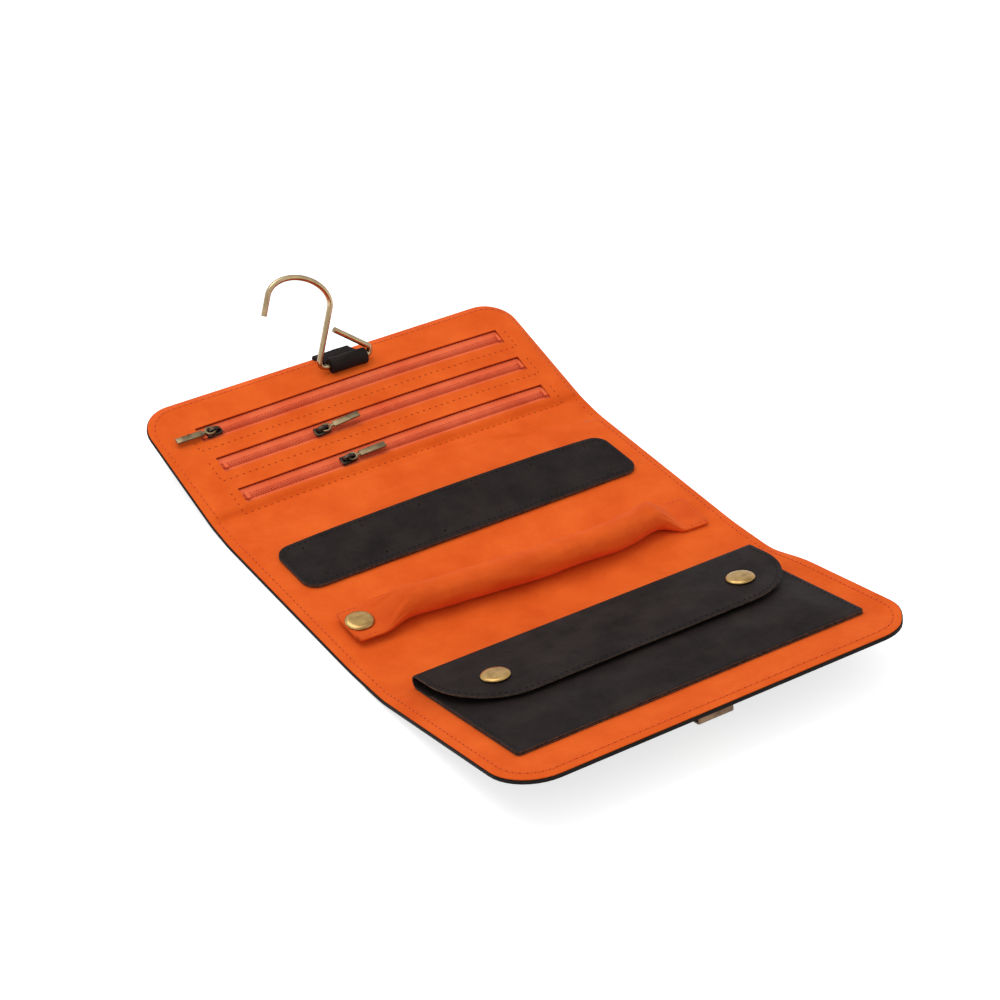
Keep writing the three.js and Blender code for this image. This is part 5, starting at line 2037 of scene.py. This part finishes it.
@dataclass
class Clasp(Part):
    """The bent metal clasp under the bottom panel's edge, with two rivets."""

    centre: float = -3.4
    half: float = 8.5
    web: float = 99.2
    base: float = 14.0
    back: float = 6.0
    channel: float = 3.6
    metal: float = 1.0
    under: float = -0.15
    bend: float = 0.9
    mid_bend: float = 0.26
    rivet_line: float = 89.6
    rivet_level: float = -1.3
    rivets: tuple[float, float] = (-7.9, 1.1)

    def build(self) -> None:
        """Makes the clasp and its rivets."""
        top = self.under - self.metal / 2.0
        low = top - self.channel - self.metal
        edge = self.web - self.metal / 2.0
        bend, mid = self.bend, self.mid_bend
        route = [(self.web - self.base, top), (edge - 6.0, top), (edge - bend, top), (edge - mid, top - mid),
                 (edge, top - bend), (edge, low + bend), (edge - mid, low + mid), (edge - bend, low),
                 (self.web - self.back, low)]
        sides = (self.centre - self.half, self.centre + self.half)
        bench = Bench().band(route, sides, 4).lay(self.layout.lay_bottom)
        piece = bench.finish("clasp_plate", [self.palette.clasp], Slot.BRONZE, 50.0)
        give_thickness(piece, self.metal, 0.28)
        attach(piece, "bottom_panel")
        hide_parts("clasp_hook")
        head = ((0.0, -0.75), (0.9, -0.68), (1.5, -0.42), (1.8, -0.05), (1.7, 0.02), (1.0, 0.02), (1.0, 2.4),
                (0.0, 2.4))
        for name, x in zip(("left", "right"), self.rivets):
            seat = Vector((x, self.rivet_line, self.rivet_level))
            rivet = Bench().lathe(head, 24).lay(lambda p, seat=seat: self.layout.lay_bottom(p + seat))
            made = rivet.finish(f"clasp_{name}_rivet_head", [self.palette.bronze], Slot.BRONZE, 50.0)
            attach(made, "bottom_panel")
            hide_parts(f"clasp_{name}_rivet")


@dataclass
class ClosingLoop(Part):
    """The flat elastic loop on the upper spine's outer face, which catches the clasp."""

    centre: float = -3.4
    half: float = 13.5
    inner: float = 9.5
    along: Span = (7.35, 39.35)
    opening: Span = (15.35, 35.35)
    corner: float = 4.0
    elastic: float = 0.6
    top: float = -0.15
    seam_inset: float = 1.2
    seam_run: float = 5.0

    def lay(self, p: Vector) -> Vector:
        """Lays a point of the flat loop on the upper spine's plane.

        Args:
            p: The point, whose y runs from the upper fold.

        Returns:
            The point in place.
        """
        bend = math.radians(self.layout.upper_fold.bend)
        run = Vector((0.0, math.cos(bend), math.sin(bend)))
        up = Vector((0.0, -math.sin(bend), math.cos(bend)))
        start = Vector((self.centre + p.x, self.layout.upper_fold.at, 0.0))
        return start + run * p.y + up * (p.z + self.top - self.elastic)

    def build(self) -> None:
        """Makes the loop and its seam."""
        bench = Bench().cut((-self.half, self.half), self.along, 1.6, (0.0, 0.0, self.corner, self.corner), 6)
        bench.window((-self.inner, self.inner), self.opening)
        bench.thicken(self.elastic, 0.15).lay(self.lay)
        piece = bench.finish("closing_loop_elastic", [self.palette.elastic], Slot.ELASTIC)
        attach(piece, "upper_spine")
        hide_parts("closing_loop")
        inset, start = self.seam_inset, self.along[0] + self.seam_inset
        row = round_outline((inset - self.half, self.half - inset), (start, start + self.seam_run))
        seam = Bench().sew(row + row[:1], Stitch.LOOP, self.lay, lambda x, v: -0.02)
        thread = seam.finish("closing_loop_stitches", [self.palette.black_thread], Slot.ELASTIC)
        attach(thread, "upper_spine")


# ---- Inner parts and studio ----


def dress_inner_parts(nodes: dict[str, Piece], palette: Palette) -> None:
    """Gives the parts that keep their own shape their finishes.

    Args:
        nodes: The frame's nodes by name.
        palette: The finishes.
    """
    finishes = {"board": palette.board, "pocket": palette.lining, "wadding": palette.wadding,
                "socket": palette.brass, "stud": palette.brass, "stop": palette.tape, "sleeve": palette.trim}
    for name, piece in nodes.items():
        material = finishes.get(name.rsplit("_", 1)[-1])
        if material is not None:
            piece.data.materials.clear()
            piece.data.materials.append(material)


@dataclass
class Studio:
    """A pale floor, soft light and the camera."""

    azimuth: float = -33.05
    elevation: float = 34.42
    roll: float = 0.23
    distance: float = 1216.0
    shift_right: float = 4.6
    shift_up: float = 16.8
    focal: float = 2.74
    sensor: float = 36.0
    aim_height: float = 2.8
    sky: float = 0.62
    sky_glint: float = 0.8
    key_power: float = 7.6
    fill_power: float = 0.8
    floor_half: float = 4000.0
    floor_step: float = 1000.0
    floor_level: float = -0.3
    floor_glow: float = 0.68

    def build(self) -> None:
        """Sets the stage."""
        bpy.context.scene.view_settings.view_transform = "Standard"
        self.make_floor()
        self.make_world()
        self.make_lamp("key", (-0.25, 0.45, 1.15), 1.1, self.key_power)
        self.make_lamp("fill", (0.75, -0.85, 0.8), 0.9, self.fill_power)
        self.make_camera()

    def make_floor(self) -> None:
        """Lays the floor, white to the camera where it is lit and shaded under the pouch."""
        side = (-self.floor_half, self.floor_half)
        bench = Bench().grid(side, side, self.floor_step)
        bmesh.ops.translate(bench.mesh, verts=bench.mesh.verts[:], vec=(0.0, 0.0, self.floor_level))
        mesh = bench.to_mesh("floor")
        floor = bpy.data.objects.new("floor", mesh)
        bpy.context.scene.collection.objects.link(floor)
        material = bpy.data.materials.new("floor_white")
        paint = Paint(material)
        path = paint.add("LightPath")
        seen = paint.math("MAXIMUM", path.outputs["Is Camera Ray"], path.outputs["Is Glossy Ray"])
        paint.put({"Base Color": (0.8, 0.8, 0.8, 1.0), "Roughness": 0.95, "Specular IOR Level": 0.0,
                   "Emission Color": (1.0, 1.0, 1.0, 1.0),
                   "Emission Strength": paint.times(seen, self.floor_glow)})
        mesh.materials.append(material)

    def make_world(self) -> None:
        """Lights the scene evenly from all round, with a white background."""
        world = bpy.data.worlds.new("studio")
        bpy.context.scene.world = world
        world.use_nodes = True
        kit = Nodes(world.node_tree)
        path = kit.add("LightPath")
        seen = kit.math("MAXIMUM", path.outputs["Is Camera Ray"], path.outputs["Is Transmission Ray"])
        seen = kit.math("MAXIMUM", seen, kit.times(path.outputs["Is Glossy Ray"], self.sky_glint))
        back = world.node_tree.nodes["Background"]
        kit.feed(back.inputs["Color"], (1.0, 1.0, 1.0, 1.0))
        kit.feed(back.inputs["Strength"], kit.math("MAXIMUM", seen, self.sky))

    @staticmethod
    def make_lamp(name: str, place: Point3, size: float, power: float) -> None:
        """Hangs a soft lamp that points at the pouch.

        Args:
            name: The lamp's name.
            place: Where it hangs, in metres.
            size: Its side, in metres.
            power: Its power, in watts.
        """
        lamp = bpy.data.lights.new(name, "AREA")
        lamp.shape, lamp.size, lamp.energy = "SQUARE", size, power
        holder = bpy.data.objects.new(name, lamp)
        holder.location = place
        holder.rotation_euler = Vector(place).to_track_quat("Z", "Y").to_euler()
        bpy.context.scene.collection.objects.link(holder)

    def make_camera(self) -> None:
        """Sets the camera at the photograph's view."""
        turn, tilt, roll = (math.radians(a) for a in (self.azimuth, self.elevation, self.roll))
        back = Vector((math.sin(turn) * math.cos(tilt), -math.cos(turn) * math.cos(tilt), math.sin(tilt)))
        level = Vector((math.cos(turn), math.sin(turn), 0.0))
        rise = back.cross(level)
        right = level * math.cos(roll) + rise * math.sin(roll)
        up = rise * math.cos(roll) - level * math.sin(roll)
        place = right * self.shift_right + up * self.shift_up + back * self.distance
        place += Vector((0.0, 0.0, self.aim_height))
        camera = bpy.data.cameras.new("camera")
        camera.sensor_width, camera.lens = self.sensor, self.focal * self.sensor
        camera.clip_start, camera.clip_end = 0.01, 50.0
        holder = bpy.data.objects.new("camera", camera)
        axes = Matrix((right, up, back)).transposed().to_4x4()
        holder.matrix_world = Matrix.Translation(place * MM) @ axes
        bpy.context.scene.collection.objects.link(holder)
        bpy.context.scene.camera = holder


def main() -> None:
    """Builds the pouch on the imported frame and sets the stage."""
    logging.basicConfig(level=logging.INFO, format="%(name)s: %(message)s")
    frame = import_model()
    Studio().build()
    layout, palette = Layout(), Palette()
    zips = [Zip(layout, palette, 1, 48.9, -73.0, 180.0), Zip(layout, palette, 2, 28.4, -27.5, 8.0),
            Zip(layout, palette, 3, 7.4, -25.5, 3.0)]
    panels = Panels(layout, palette, windows=tuple(z.window for z in zips))
    panels.build()
    for item in zips:
        item.build(panels)
    for kind in (Hanger, EarringStrip, RingRoll, FlapPouch, Clasp, ClosingLoop):
        kind(layout, palette).build()
        LOG.info("built %s", kind.__name__)
    dress_inner_parts(frame["nodes"], palette)


if __name__ == "__main__":
    main()
